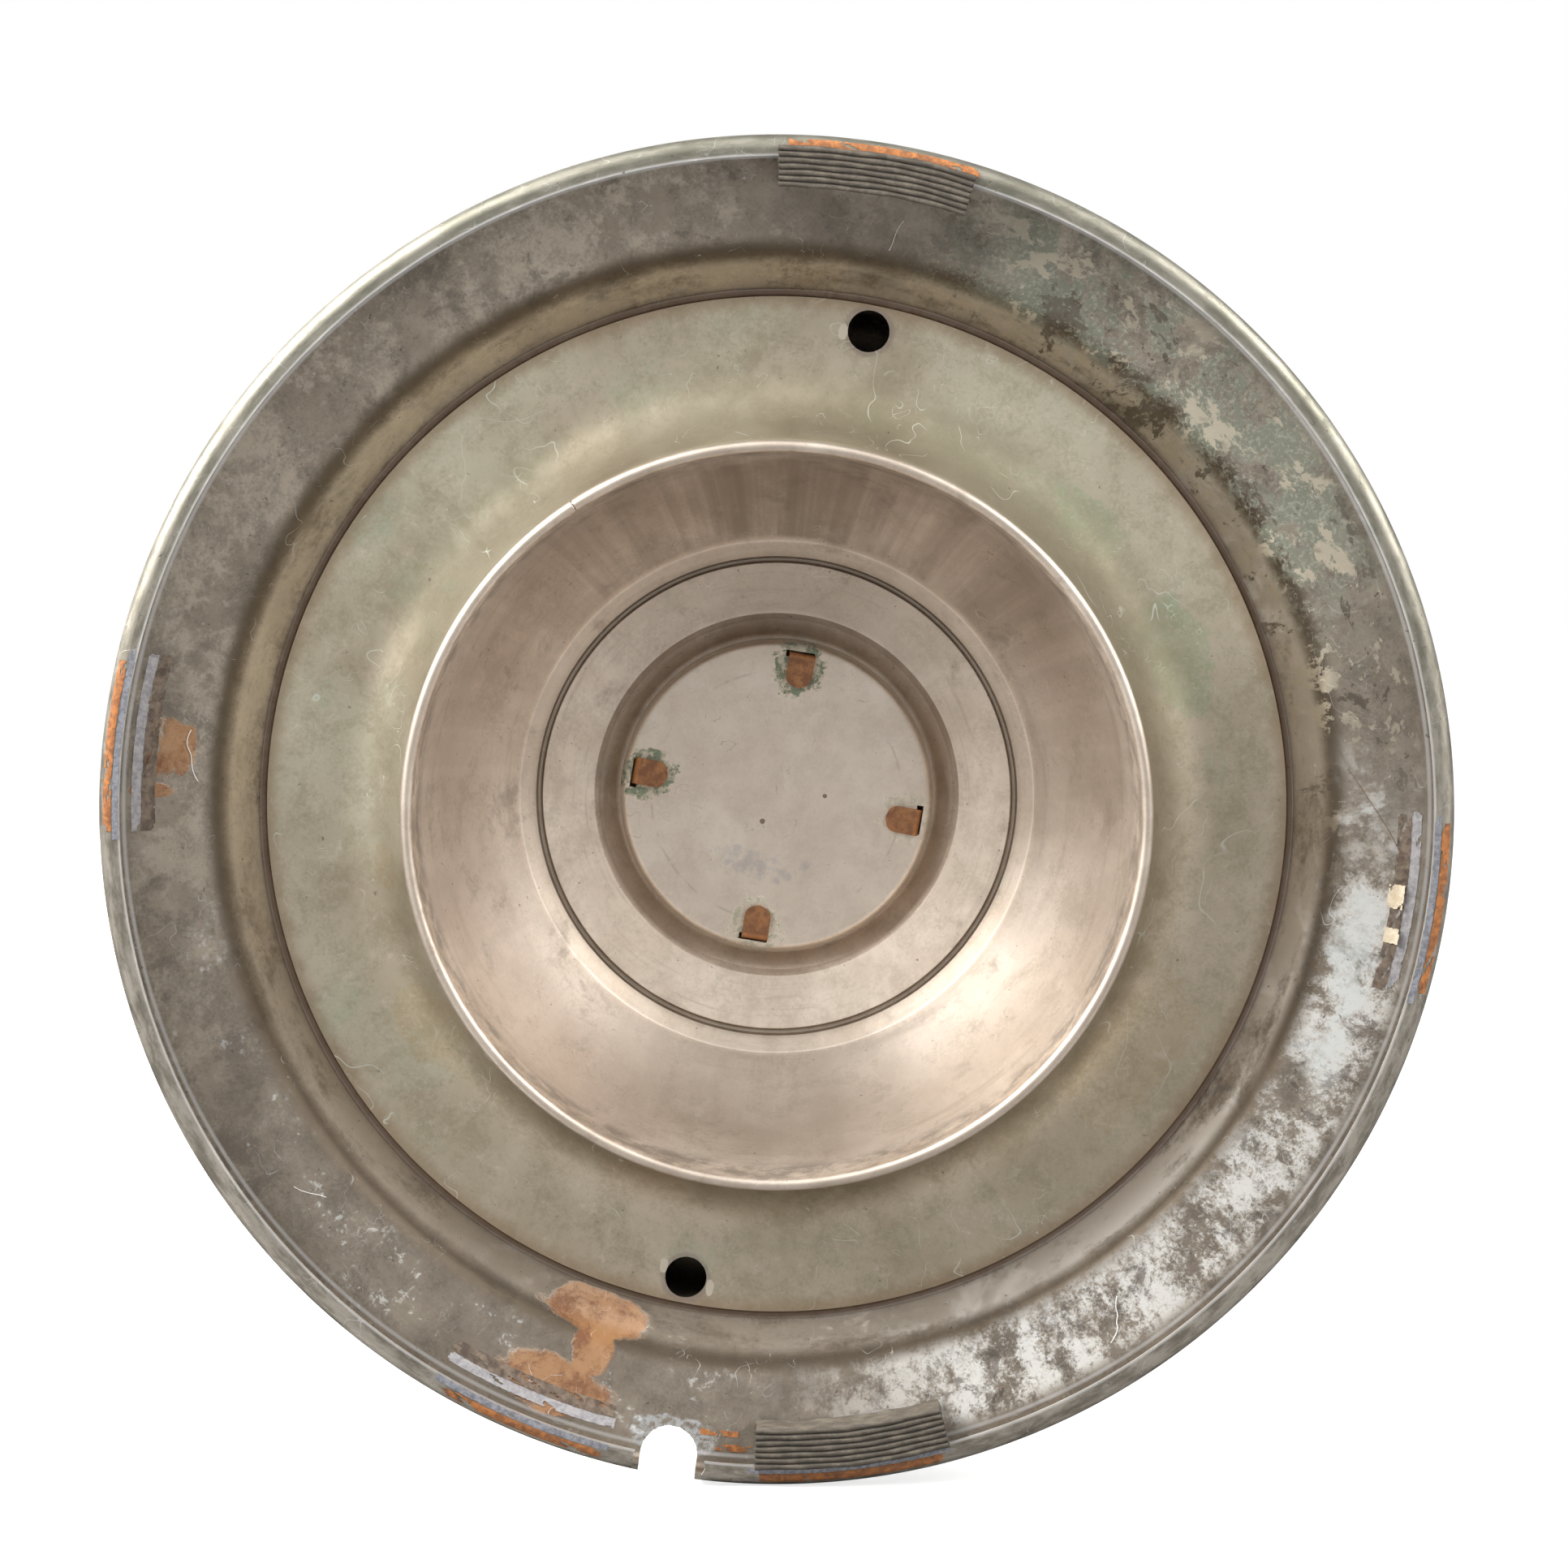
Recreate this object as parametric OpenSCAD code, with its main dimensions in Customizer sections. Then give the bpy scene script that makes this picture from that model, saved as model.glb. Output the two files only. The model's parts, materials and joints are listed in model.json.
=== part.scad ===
// Sculpting turntable: a spun-metal base on rubber pads, a column with a thrust ball bearing,
// and a cast wheel head that turns on a spindle. Millimetres, +Z up, z = 0 at the bench.

/* [Base shell] */
// Outer radius of the base at its rim
base_r = 150; // [146:1:160]
// Thickness of the spun casing sheet
sheet = 1.2; // [1:0.1:1.4]
// Height of the turned-in rim lip above the bench
lip_z = 2.6; // [2:0.1:4]
// Inner radius of the turned-in rim lip
lip_inner_r = 145.3; // [144:0.1:146]
// Corner radius of the rim
rim_round = 3; // [2.6:0.1:4]
// Top of the brim at the rim
brim_z = 13.5; // [13:0.1:16]
// Radius where the brim bends up into the riser
riser_r = 126.4; // [124:0.1:128]
// Top of the brim at the foot of the riser
riser_z = 16.7; // [16:0.1:18]
// Radius of the shoulder where the tall wall meets the dome
shoulder_r = 112.4; // [110:0.1:113]
// Height of that shoulder
shoulder_z = 44; // [42:1:50]
// Radius of the flat top that carries the column
top_flat_r = 50; // [46:1:60]
// Width of the cable notch through the brim
notch_w = 12.8; // [8:0.1:16]
// Distance from the axis to the round inner end of the notch
notch_reach = 140.3; // [134:0.1:144]
// Width of the same notch through the lip
lip_notch_w = 16.6; // [12:0.1:20]

/* [Base plate] */
// Outer radius of the base plate
plate_r = 114.4; // [114:0.1:114.6]
// Height of the plate's flat underside
plate_z = 25.5; // [24:0.1:27]
// Thickness of the plate sheet
plate_sheet = 0.8; // [0.6:0.1:1]
// Outer radius of the plate's collar
collar_r = 83.2; // [82.8:0.1:83.4]
// Radius of the cove between flat and collar
cove_r = 16; // [10:1:18]
// Radius of the two round holes
plate_hole_r = 4.7; // [3:0.1:5]
// Distance from the axis to each round hole
plate_hole_reach = 108.5; // [104:0.1:108.8]
// Turn of the plate's two holes from the Y axis
plate_turn = 1.4; // [0:0.1:45]

/* [Hub shell] */
// Thickness of the hub shell sheet
hub_sheet = 0.6; // [0.5:0.1:0.8]
// Radius of the rolled bead's centre line
bead_ring_r = 81.9; // [81.5:0.1:82.2]
// Radius of the rolled bead's own section
bead_r = 1.28; // [1.2:0.02:1.4]
// Radius of the wire inside the bead
bead_wire_r = 0.6; // [0.5:0.02:0.62]
// Radius of the sharp crease at the top of the funnel
crease_r = 58.8; // [57:0.1:60]
// Height of that crease
crease_z = 51; // [50:0.1:52]
// Radius where the funnel's steep foot and its shallower top would meet
funnel_r = 78.8; // [77:0.1:79]
// Height of that meeting
funnel_z = 30; // [29:0.5:31]
// Radius of the edge of the centre recess
recess_r = 41.8; // [41:0.1:43]
// Height of the edge of the centre recess
recess_z = 57.6; // [57:0.1:58]
// Height of the recess floor
floor_z = 61.3; // [61:0.1:61.7]

/* [Centre cap and clips] */
// Radius of the centre cap
cap_r = 35.8; // [35.5:0.1:36]
// Height of the cap's visible face
cap_z = 53.6; // [53:0.1:54]
// Thickness of the cap sheet
cap_sheet = 1; // [0.8:0.1:1.2]
// Corner radius of the cap
cap_round = 1.9; // [1.6:0.1:2.4]
// Width of each copper tab
tab_w = 6; // [4:0.1:7]
// Length of the bent part of each tab
tab_len = 7.9; // [6:0.1:10]
// Thickness of the copper clip plate
clip_sheet = 0.9; // [0.8:0.1:1]
// Outer radius of the tabs, where they come through the cap
tab_r = 33.3; // [32:0.1:33.4]

/* [Rubber pads] */
// Inner radius of a pad's foot
pad_in_r = 138.4; // [137:0.1:139]
// Outer radius of a pad's foot
pad_out_r = 147.7; // [147:0.1:148]
// Angle that a pad spans along the rim
pad_span = 17.2; // [10:0.1:20]
// Number of ribs along a pad's foot
pad_ribs = 7; // [4:1:9]
// Angle of the middle of the rear pad
rear_pad_angle = 89.2; // [70:0.1:110]
// Angle of the middle of the front pad
front_pad_angle = 253.8; // [225:0.1:255]
// How far the front pad has crept inwards
front_pad_shift = 1.6; // [0:0.1:2]

/* [Column and bearing] */
// Radius of the column's flange
flange_r = 36; // [35:1:44]
// Thickness of the column's flange
flange_t = 5; // [4:0.5:8]
// Radius of the column at its top
column_r = 20; // [19.5:0.1:20]
// Height of the column above the base shell
column_h = 32.5; // [26:0.5:60]
// Radius of the spindle
spindle_r = 8; // [6:0.5:8.5]
// Outer radius of the two bushes
bush_r = 12; // [11:0.5:12]
// Number of balls in the thrust bearing
ball_count = 12; // [8:1:12]
// Radius of each ball
ball_r = 2.75; // [2.5:0.05:2.8]
// Radius of the ball circle
ball_ring_r = 14.5; // [14:0.1:15]

/* [Wheel head] */
// Radius of the wheel head
head_r = 140; // [100:1:149]
// Thickness of the wheel head's deck
head_t = 6; // [5:0.5:9]
// Depth of the wheel head's rim from the top face
head_rim_h = 13; // [10:0.5:15]
// Spacing of the centring rings turned into the top face
ring_pitch = 20; // [10:1:30]
// Radius of the hub flange under the wheel head
hub_r = 42; // [40:1:55]
// Distance from the axis to the wheel head's screws
head_screw_reach = 32; // [30:1:38]

/* [Hidden] */
$fn = 96;
cut = 1;                    // how far a cut runs past a face
arc_step = 12;              // degrees between the points of a rounded corner
large_round = 40;           // corner radius that gets points twice as close

// Outline of the casing, and the sheets clamped under the column
clear_hole_r = 12.5;
riser_top_r = 116.5;
ledge_z = plate_z + plate_sheet;
wall_r = 114.6;
riser_round = 7;
ledge_round = 1.2;
wall_round = 0.6;
shoulder_round = 8;
dome_round = 20;
shell_top = floor_z + hub_sheet + sheet;
clip_z = floor_z - clip_sheet;
clip_rim = 0.4;             // how far the clip plate's ring runs beyond its tabs
clip_out_r = tab_r + clip_rim;
collar_gap = 0.1;           // between the bead and the end of the collar
collar_end_z = 2 * bead_r + collar_gap;
brim_slope = (riser_z - brim_z) / (base_r - riser_r);
tab_count = 4;
slot_play = 0.3;            // around each tab in its slot
tab_bend = 1.2;

// Bead, funnel, groove and recess of the hub shell
bead_curl = 290;            // degrees that the sheet's edge curls round the wire
groove_out_r = crease_r - 3.8;
groove_in_r = crease_r - 5.3;
groove_foot_z = crease_z + 2.1;
groove_lip_z = crease_z + 2.8;
groove_top_z = crease_z + 3.6;
groove_out_lean = 0.4;      // how far the groove's outer wall leans in
groove_in_lean = 0.4;       // how far its inner wall leans out
groove_round = 0.3;
funnel_round = 66;
step_r = recess_r - 1.4;    // top of the short step inside the recess's edge
step_z = recess_z + 1.3;
floor_r = recess_r - 5.2;
floor_round = 2;

// Ballast, with a top that follows the dome
ballast_in_r = 88;
ballast_out_r = 103;
ballast_in_z = shoulder_z + 3.4;
ballast_out_z = shoulder_z - 1;
ballast_chamfer = 2;

// Rubber pads
rib_depth = 0.45;
rib_land = 0.6;             // share of the pitch that is land
glue = 0.2;                 // film between pad and sheet
hook_glue = 0.3;            // the same at the lip's edge
brim_glue = 0.6;            // the same under the brim

// Column bolting
screw_turn = 45;            // of both screw circles, so that the screws stand between the tabs
bolt_reach = 29;
bolt_r = 2.5;
bolt_hole_r = 2.75;
bolt_count = 4;
bolt_end = 0.4;             // thread that shows beyond the nut
hex_r = 4.6;                // corner radius of the hexagons
washer_r = 4.8;
bolt_head_h = 3.4;
washer_t = 1;
nut_h = 4;
flange_top = shell_top + flange_t;
column_top = shell_top + column_h;
column_foot = 3;            // how much wider the column is at its foot
column_neck = 12;           // straight length at the column's top
flange_round = 1.2;
foot_round = 1;
neck_round = 30;
column_round = 0.6;

// Thrust bearing
race_in_r = 10;
race_out_r = 19;
race_t = 3;
race_gap = 3.1;             // between the flat faces of the two races
ball_play = 0.1;            // around each ball, in the races and in the cage
ball_z = column_top + race_t + race_gap / 2;
cage_t = 1.6;
cage_play = 0.6;            // cage edge to race edge
upper_race_z = column_top + race_t + race_gap;
hub_z = upper_race_z + race_t;

// Spindle and its lower end
fit = 0.05;                 // radial running clearance in the bushes
bush_h = 12;
axial_play = 0.3;
thrust_t = 1.6;
thrust_bore_play = 0.15;
thrust_z = shell_top - axial_play - thrust_t;
thrust_out_r = bush_r - 0.4;
clip_ring_t = 1.1;
clip_ring_gap = 0.1;        // between the clip and the thrust washer
clip_ring_z = thrust_z - clip_ring_gap - clip_ring_t;
clip_ring_out_r = bush_r - 1;
clip_ring_play = 0.05;      // of the clip in its groove
clip_ring_mouth = 5;
groove_r = spindle_r - 0.8;
spindle_chamfer = 1.5;
spindle_tail = 3.6;         // spindle below the clip
spindle_end_z = clip_ring_z - spindle_tail;

// Wheel head
hub_t = 8;
hub_flange_t = 5;
deck_z = hub_z + hub_t;
head_top = deck_z + head_t;
skirt_in_r = column_r + 2.4;
skirt_t = 2;
skirt_drop = 9;             // how far the dust skirt hangs below the lower race's top
race_seat = 2;              // depth of the upper race's seat in the hub
race_seat_play = 0.5;
skirt_taper = 1;            // how much wider the skirt is where it meets the flange
skirt_round = 0.8;
hub_fillet = 3;
hub_round = 1;
rim_t = 3.5;
rim_taper = 1;              // how much thicker the rim is where it meets the deck
rim_fillet = 3;
rim_in_round = 1;
rim_out_round = 1.2;
deck_round = 2;
rib_count = 6;
rib_t = 3;
rib_h = 5;
rib_hub_gap = 2;            // from the hub flange to the end of a rib
rib_rim_gap = 1;            // from a rib's other end to the rim
head_screw_r = 3;
head_screw_head_r = 6;
head_screw_count = 4;
head_screw_grip = 5;        // thread length in the hub
head_screw_play = 0.3;
screw_slot_w = 1.4;
screw_slot_d = 1.6;
thread_play = 0.02;
sink_play = 0.05;           // of a countersunk head in its seat
ring_groove_d = 0.5;

function xy(p) = [p[0], p[1]];
function unit(v) = v / norm(v);
function left(v) = [-v[1], v[0]];
function turned(v, a) = [v[0] * cos(a) - v[1] * sin(a), v[0] * sin(a) + v[1] * cos(a)];
function bend(u, v) = atan2(u[0] * v[1] - u[1] * v[0], u * v);

// The corner b between a and c, rounded to radius r; a large one gets more points
function corner(a, b, c, r) =
    let (u = unit(b - a), v = unit(c - b), t = bend(u, v))
    r == 0 || abs(t) < 0.01 ? [b] :
    let (s = b - u * r * tan(abs(t) / 2), o = s + sign(t) * r * left(u))
    let (n = max(2, ceil(abs(t) / arc_step * (1 + r / large_round))))
    [for (i = [0 : n]) o + turned(s - o, t * i / n)];

// An outline of [radius, height, corner radius] points, with its corners rounded
function rounded(p) = [for (i = [0 : len(p) - 1])
    each (i == 0 || i == len(p) - 1 ? [xy(p[i])] :
        corner(xy(p[i - 1]), xy(p[i]), xy(p[i + 1]), p[i][2]))];

function side(p, i) = left(unit(p[i + 1] - p[i]));
function miter(p, i) =
    let (a = side(p, max(i - 1, 0)), b = side(p, min(i, len(p) - 2)), s = a + b)
    2 * s / (s * s);

// A path turned into a strip of sheet: t is to the left of the path, or to the right if negative
function strip(p, t) = concat(p, [for (i = [len(p) - 1 : -1 : 0]) p[i] + t * miter(p, i)]);

// Underside of the brim above radius r
function brim_under(r) =
    brim_z - sheet * norm([1, brim_slope]) + (base_r - r) * brim_slope;

// Where a line from point p touches the left side of a circle of radius r about c
function tangent_foot(p, c, r) =
    let (d = c - p, a = atan2(d[1], d[0]) - asin(r / norm(d)))
    p + sqrt(d * d - r * r) * [cos(a), sin(a)];

function arc(c, r, from, to) =
    let (n = ceil(abs(to - from) / arc_step))
    [for (i = [0 : n], a = from + (to - from) * i / n) c + r * [cos(a), sin(a)]];

function all_but_first(p) = [for (i = [1 : len(p) - 1]) p[i]];

module spun(path, t) {
    rotate_extrude($fn = 180) polygon(strip(rounded(path), t));
}

module ring_of(count, reach, turn = 0) {
    for (i = [0 : count - 1])
        rotate([0, 0, turn + 360 * i / count]) translate([reach, 0, 0]) children();
}

module ring(inner, outer, low, high) {
    rotate_extrude($fn = 128)
        translate([inner, low]) square([outer - inner, high - low]);
}

module bolt_circle(low, high, r) {
    ring_of(bolt_count, bolt_reach, screw_turn)
        translate([0, 0, low]) cylinder(h = high - low, r = r, $fn = 32);
}

// ---- Base ----

module notch_slot(width, inner, low, high) {
    translate([0, 0, low]) linear_extrude(high - low) {
        translate([0, -inner - width / 2]) circle(d = width, $fn = 48);
        translate([-width / 2, -base_r - cut]) square([width, base_r + cut - inner - width / 2]);
    }
}

module outer_casing() {
    color("tan") difference() {
        spun([[lip_inner_r, lip_z], [base_r, lip_z, rim_round], [base_r, brim_z, rim_round],
            [riser_r, riser_z, riser_round], [riser_top_r, ledge_z + sheet, ledge_round],
            [wall_r, ledge_z + sheet, wall_round], [shoulder_r, shoulder_z, shoulder_round],
            [top_flat_r, shell_top, dome_round], [clear_hole_r, shell_top]], sheet);
        notch_slot(notch_w, notch_reach, lip_z - cut, riser_z);
        translate([-lip_notch_w / 2, -base_r - cut, lip_z - cut])
            cube([lip_notch_w, base_r + 2 * cut - lip_inner_r, 2 * sheet + cut]);
        bolt_circle(shell_top - sheet - cut, shell_top + cut, bolt_hole_r);
    }
}

module base_plate() {
    color("darkseagreen") difference() {
        spun([[collar_r, collar_end_z], [collar_r, plate_z, cove_r], [plate_r, plate_z]],
            plate_sheet);
        ring_of(2, plate_hole_reach, 90 + plate_turn)
            translate([0, 0, plate_z - cut])
                cylinder(h = plate_sheet + 2 * cut, r = plate_hole_r, $fn = 48);
    }
}

// One sheet from its curled edge, round the wire, up the funnel and in to the recess floor
module hub_shell() {
    bead = [bead_ring_r, bead_r];
    wall_foot = tangent_foot([funnel_r, funnel_z], bead, bead_r);
    foot_turn = atan2(wall_foot[1] - bead[1], wall_foot[0] - bead[0]);
    curl = arc(bead, bead_r, foot_turn + bead_curl, foot_turn);
    wall = rounded([wall_foot, [funnel_r, funnel_z, funnel_round], [crease_r, crease_z, 0],
        [groove_out_r, groove_foot_z, 0],
        [groove_out_r - groove_out_lean, groove_top_z, groove_round],
        [groove_in_r + groove_in_lean, groove_top_z, groove_round],
        [groove_in_r, groove_lip_z, 0], [recess_r, recess_z, 0], [step_r, step_z, 0],
        [floor_r, floor_z, floor_round], [clear_hole_r, floor_z]]);
    color("rosybrown") difference() {
        rotate_extrude($fn = 180) polygon(strip(concat(curl, all_but_first(wall)), -hub_sheet));
        bolt_circle(floor_z - cut, floor_z + hub_sheet + cut, bolt_hole_r);
    }
}

module bead_wire() {
    color("dimgray") rotate_extrude($fn = 180)
        translate([bead_ring_r, bead_r]) circle(r = bead_wire_r, $fn = 24);
}

module centre_cap() {
    slot_in = tab_r - clip_sheet - slot_play;
    slot_w = tab_w + 2 * slot_play;
    color("silver") difference() {
        spun([[0, cap_z], [cap_r, cap_z, cap_round], [cap_r, floor_z]], cap_sheet);
        ring_of(tab_count, slot_in)
            translate([0, -slot_w / 2, cap_z - cut])
                cube([clip_sheet + 2 * slot_play, slot_w, cap_sheet + 2 * cut]);
    }
}

module clip_tab() {
    tip = tab_r - tab_len;
    intersection() {
        rotate([90, 0, 0]) linear_extrude(tab_w, center = true)
            polygon(strip(rounded([[tab_r, clip_z + clip_sheet / 2],
                [tab_r, cap_z - clip_sheet, tab_bend], [tip, cap_z - clip_sheet]]), -clip_sheet));
        translate([0, 0, cap_z - clip_sheet - cut]) linear_extrude(clip_z - cap_z + 3 * cut) {
            translate([tip + tab_w / 2, 0]) circle(d = tab_w, $fn = 48);
            translate([tip + tab_w / 2, -tab_w / 2 - cut]) square([tab_len, tab_w + 2 * cut]);
        }
    }
}

module clip_plate() {
    color("chocolate") {
        difference() {
            ring(clear_hole_r, clip_out_r, clip_z, floor_z);
            bolt_circle(clip_z - cut, floor_z + cut, bolt_hole_r);
        }
        ring_of(tab_count, 0) clip_tab();
    }
}

module ballast_ring() {
    color("dimgray") rotate_extrude($fn = 128)
        polygon([[ballast_in_r + ballast_chamfer, ledge_z], [ballast_out_r, ledge_z],
            [ballast_out_r, ballast_out_z], [ballast_in_r, ballast_in_z],
            [ballast_in_r, ledge_z + ballast_chamfer]]);
}

// A ribbed rubber foot that hooks over the lip and fills the brim above it, glued in place
module foot_pad(angle, shift) {
    pitch = (pad_out_r - pad_in_r) / pad_ribs;
    edge = (1 - rib_land) / 2;
    ribs = [for (i = [0 : pad_ribs - 1], p = [[0, rib_depth], [edge, 0], [1 - edge, 0]])
        [pad_in_r + (i + p[0]) * pitch, p[1]]];
    hook_r = lip_inner_r - hook_glue;
    rotate([0, 0, angle]) translate([-shift, 0, 0]) rotate([0, 0, -pad_span / 2])
        rotate_extrude(angle = pad_span, $fn = 180)
            polygon(concat(ribs, [[pad_out_r, rib_depth], [pad_out_r, lip_z - glue],
                [hook_r, lip_z - glue], [hook_r, brim_under(hook_r) - brim_glue],
                [pad_in_r, brim_under(pad_in_r) - brim_glue]]));
}

module foot_pad_rear() {
    color("darkolivegreen") foot_pad(rear_pad_angle, 0);
}

module foot_pad_front() {
    color("darkolivegreen") foot_pad(front_pad_angle, front_pad_shift);
}

// ---- Column, bolts and bushes ----

module column() {
    color("slategray") difference() {
        rotate_extrude($fn = 128)
            polygon(rounded([[bush_r, shell_top], [flange_r, shell_top, 0],
                [flange_r, flange_top, flange_round],
                [column_r + column_foot, flange_top, foot_round],
                [column_r, column_top - column_neck, neck_round],
                [column_r, column_top, column_round], [bush_r, column_top]]));
        bolt_circle(shell_top - cut, flange_top + cut, bolt_hole_r);
    }
}

module column_screws() {
    color("gray") bolt_circle(clip_z - nut_h - bolt_end, flange_top + washer_t, bolt_r);
    color("gray") ring_of(bolt_count, bolt_reach, screw_turn) translate([0, 0, flange_top + washer_t])
        cylinder(h = bolt_head_h, r = hex_r, $fn = 6);
}

module column_washers() {
    color("silver") difference() {
        bolt_circle(flange_top, flange_top + washer_t, washer_r);
        bolt_circle(flange_top - cut, flange_top + washer_t + cut, bolt_hole_r);
    }
}

module column_nuts() {
    color("gray") ring_of(bolt_count, bolt_reach, screw_turn) translate([0, 0, clip_z - nut_h])
        difference() {
            cylinder(h = nut_h, r = hex_r, $fn = 6);
            translate([0, 0, -cut]) cylinder(h = nut_h + 2 * cut, r = bolt_r + thread_play, $fn = 32);
        }
}

module lower_bush() {
    color("goldenrod") ring(spindle_r + fit, bush_r, shell_top, shell_top + bush_h);
}

module upper_bush() {
    color("goldenrod") ring(spindle_r + fit, bush_r, column_top - bush_h, column_top);
}

// ---- Thrust bearing ----

module race(low, groove_z) {
    rotate_extrude($fn = 128) difference() {
        translate([race_in_r, low]) square([race_out_r - race_in_r, race_t]);
        translate([ball_ring_r, groove_z]) circle(r = ball_r + ball_play, $fn = 48);
    }
}

module lower_race() {
    color("lightsteelblue") race(column_top, ball_z);
}

module upper_race() {
    color("lightsteelblue") race(upper_race_z, ball_z);
}

module ball_cage() {
    color("peru") difference() {
        ring(race_in_r + cage_play, race_out_r - cage_play, ball_z - cage_t / 2, ball_z + cage_t / 2);
        ring_of(ball_count, ball_ring_r) translate([0, 0, ball_z - cage_t])
            cylinder(h = 2 * cage_t, r = ball_r + ball_play, $fn = 32);
    }
}

module bearing_balls() {
    color("lightgray") ring_of(ball_count, ball_ring_r)
        translate([0, 0, ball_z]) sphere(r = ball_r, $fn = 32);
}

// ---- Head ----

module head_hub() {
    seat_r = race_out_r + race_seat_play;
    seat_z = hub_z + race_seat;
    skirt_low = column_top + race_t - skirt_drop;
    skirt_out_r = skirt_in_r + skirt_t;
    flange_low = deck_z - hub_flange_t;
    color("gray") difference() {
        rotate_extrude($fn = 128)
            polygon(rounded([[spindle_r, hub_z], [seat_r, hub_z, 0], [seat_r, seat_z, 0],
                [skirt_in_r, seat_z, 0], [skirt_in_r, skirt_low, 0],
                [skirt_out_r, skirt_low, skirt_round],
                [skirt_out_r + skirt_taper, flange_low, hub_fillet],
                [hub_r, flange_low, hub_round], [hub_r, deck_z, 0], [spindle_r, deck_z]]));
        ring_of(head_screw_count, head_screw_reach, screw_turn) translate([0, 0, flange_low - cut])
            cylinder(h = hub_flange_t + 2 * cut, r = head_screw_r + thread_play, $fn = 32);
    }
}

module wheel_head() {
    rim_low = head_top - head_rim_h;
    rings = floor((head_r - 2 * rim_t) / ring_pitch);
    rib_in_r = hub_r + rib_hub_gap;
    rib_out_r = head_r - rim_t - rib_rim_gap;
    sink_h = head_screw_head_r - head_screw_r;
    color("gainsboro") difference() {
        union() {
            rotate_extrude($fn = 180)
                polygon(rounded([[0, deck_z], [head_r - rim_t - rim_taper, deck_z, rim_fillet],
                    [head_r - rim_t, rim_low, rim_in_round], [head_r, rim_low, rim_out_round],
                    [head_r, head_top, deck_round], [0, head_top]]));
            ring_of(rib_count, rib_in_r)
                translate([0, -rib_t / 2, deck_z - rib_h])
                    cube([rib_out_r - rib_in_r, rib_t, rib_h + cut]);
        }
        rotate_extrude($fn = 180)
            for (i = [1 : rings])
                translate([i * ring_pitch, head_top]) rotate(45)
                    square(ring_groove_d * sqrt(2), center = true);
        ring_of(head_screw_count, head_screw_reach, screw_turn) {
            translate([0, 0, deck_z - cut])
                cylinder(h = head_t + 2 * cut, r = head_screw_r + head_screw_play, $fn = 32);
            translate([0, 0, head_top - sink_h])
                cylinder(h = sink_h, r1 = head_screw_r + sink_play,
                    r2 = head_screw_head_r + sink_play, $fn = 48);
            translate([0, 0, head_top])
                cylinder(h = cut, r = head_screw_head_r + sink_play, $fn = 48);
        }
    }
}

module head_screws() {
    head_h = head_screw_head_r - head_screw_r;
    slot_l = 2 * head_screw_head_r + 2 * cut;
    color("silver") ring_of(head_screw_count, head_screw_reach, screw_turn) difference() {
        union() {
            translate([0, 0, deck_z - head_screw_grip])
                cylinder(h = head_t + head_screw_grip - head_h, r = head_screw_r, $fn = 32);
            translate([0, 0, head_top - head_h])
                cylinder(h = head_h, r1 = head_screw_r, r2 = head_screw_head_r, $fn = 48);
        }
        translate([-slot_l / 2, -screw_slot_w / 2, head_top - screw_slot_d])
            cube([slot_l, screw_slot_w, screw_slot_d + cut]);
    }
}

module spindle() {
    groove_low = clip_ring_z - clip_ring_play;
    groove_high = clip_ring_z + clip_ring_t + clip_ring_play;
    color("lightslategray") rotate_extrude($fn = 96)
        polygon([[0, spindle_end_z], [spindle_r - spindle_chamfer, spindle_end_z],
            [spindle_r, spindle_end_z + spindle_chamfer], [spindle_r, groove_low],
            [groove_r, groove_low], [groove_r, groove_high], [spindle_r, groove_high],
            [spindle_r, deck_z], [0, deck_z]]);
}

module thrust_washer() {
    color("goldenrod")
        ring(spindle_r + thrust_bore_play, thrust_out_r, thrust_z, thrust_z + thrust_t);
}

module retaining_clip() {
    color("dimgray") difference() {
        ring(groove_r + clip_ring_play, clip_ring_out_r, clip_ring_z, clip_ring_z + clip_ring_t);
        translate([0, -clip_ring_mouth / 2, clip_ring_z - cut])
            cube([bush_r, clip_ring_mouth, clip_ring_t + 2 * cut]);
    }
}

outer_casing();
base_plate();
hub_shell();
bead_wire();
centre_cap();
clip_plate();
ballast_ring();
foot_pad_rear();
foot_pad_front();
column();
column_screws();
column_washers();
column_nuts();
lower_bush();
upper_bush();
lower_race();
ball_cage();
bearing_balls();
upper_race();
head_hub();
wheel_head();
head_screws();
spindle();
thrust_washer();
retaining_clip();
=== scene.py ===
"""A sculpting turntable seen from below: a worn, stepped base of spun metal with two of its rubber
pads left, and above it a column, a thrust bearing and a round wheel head that turns."""
import json
import math
import random

import bmesh
import bpy
import numpy as np
from mathutils import Matrix, Vector


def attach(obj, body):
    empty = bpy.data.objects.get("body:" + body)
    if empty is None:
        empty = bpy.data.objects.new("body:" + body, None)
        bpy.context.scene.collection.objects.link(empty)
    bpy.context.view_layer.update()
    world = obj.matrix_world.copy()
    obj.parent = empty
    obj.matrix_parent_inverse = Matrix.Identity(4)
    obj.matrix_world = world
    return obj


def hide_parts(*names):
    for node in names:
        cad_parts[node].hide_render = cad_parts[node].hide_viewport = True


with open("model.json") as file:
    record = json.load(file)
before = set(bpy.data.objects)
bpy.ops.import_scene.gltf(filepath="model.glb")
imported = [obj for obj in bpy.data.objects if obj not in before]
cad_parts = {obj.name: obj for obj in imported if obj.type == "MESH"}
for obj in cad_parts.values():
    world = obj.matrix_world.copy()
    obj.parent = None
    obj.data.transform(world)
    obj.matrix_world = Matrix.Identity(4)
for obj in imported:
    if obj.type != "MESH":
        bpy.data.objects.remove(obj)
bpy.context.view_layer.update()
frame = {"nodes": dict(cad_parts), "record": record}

MM = 0.001
SEGMENTS = 480      # faces round a turned shell
CIRCLE_SIDES = 56
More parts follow.
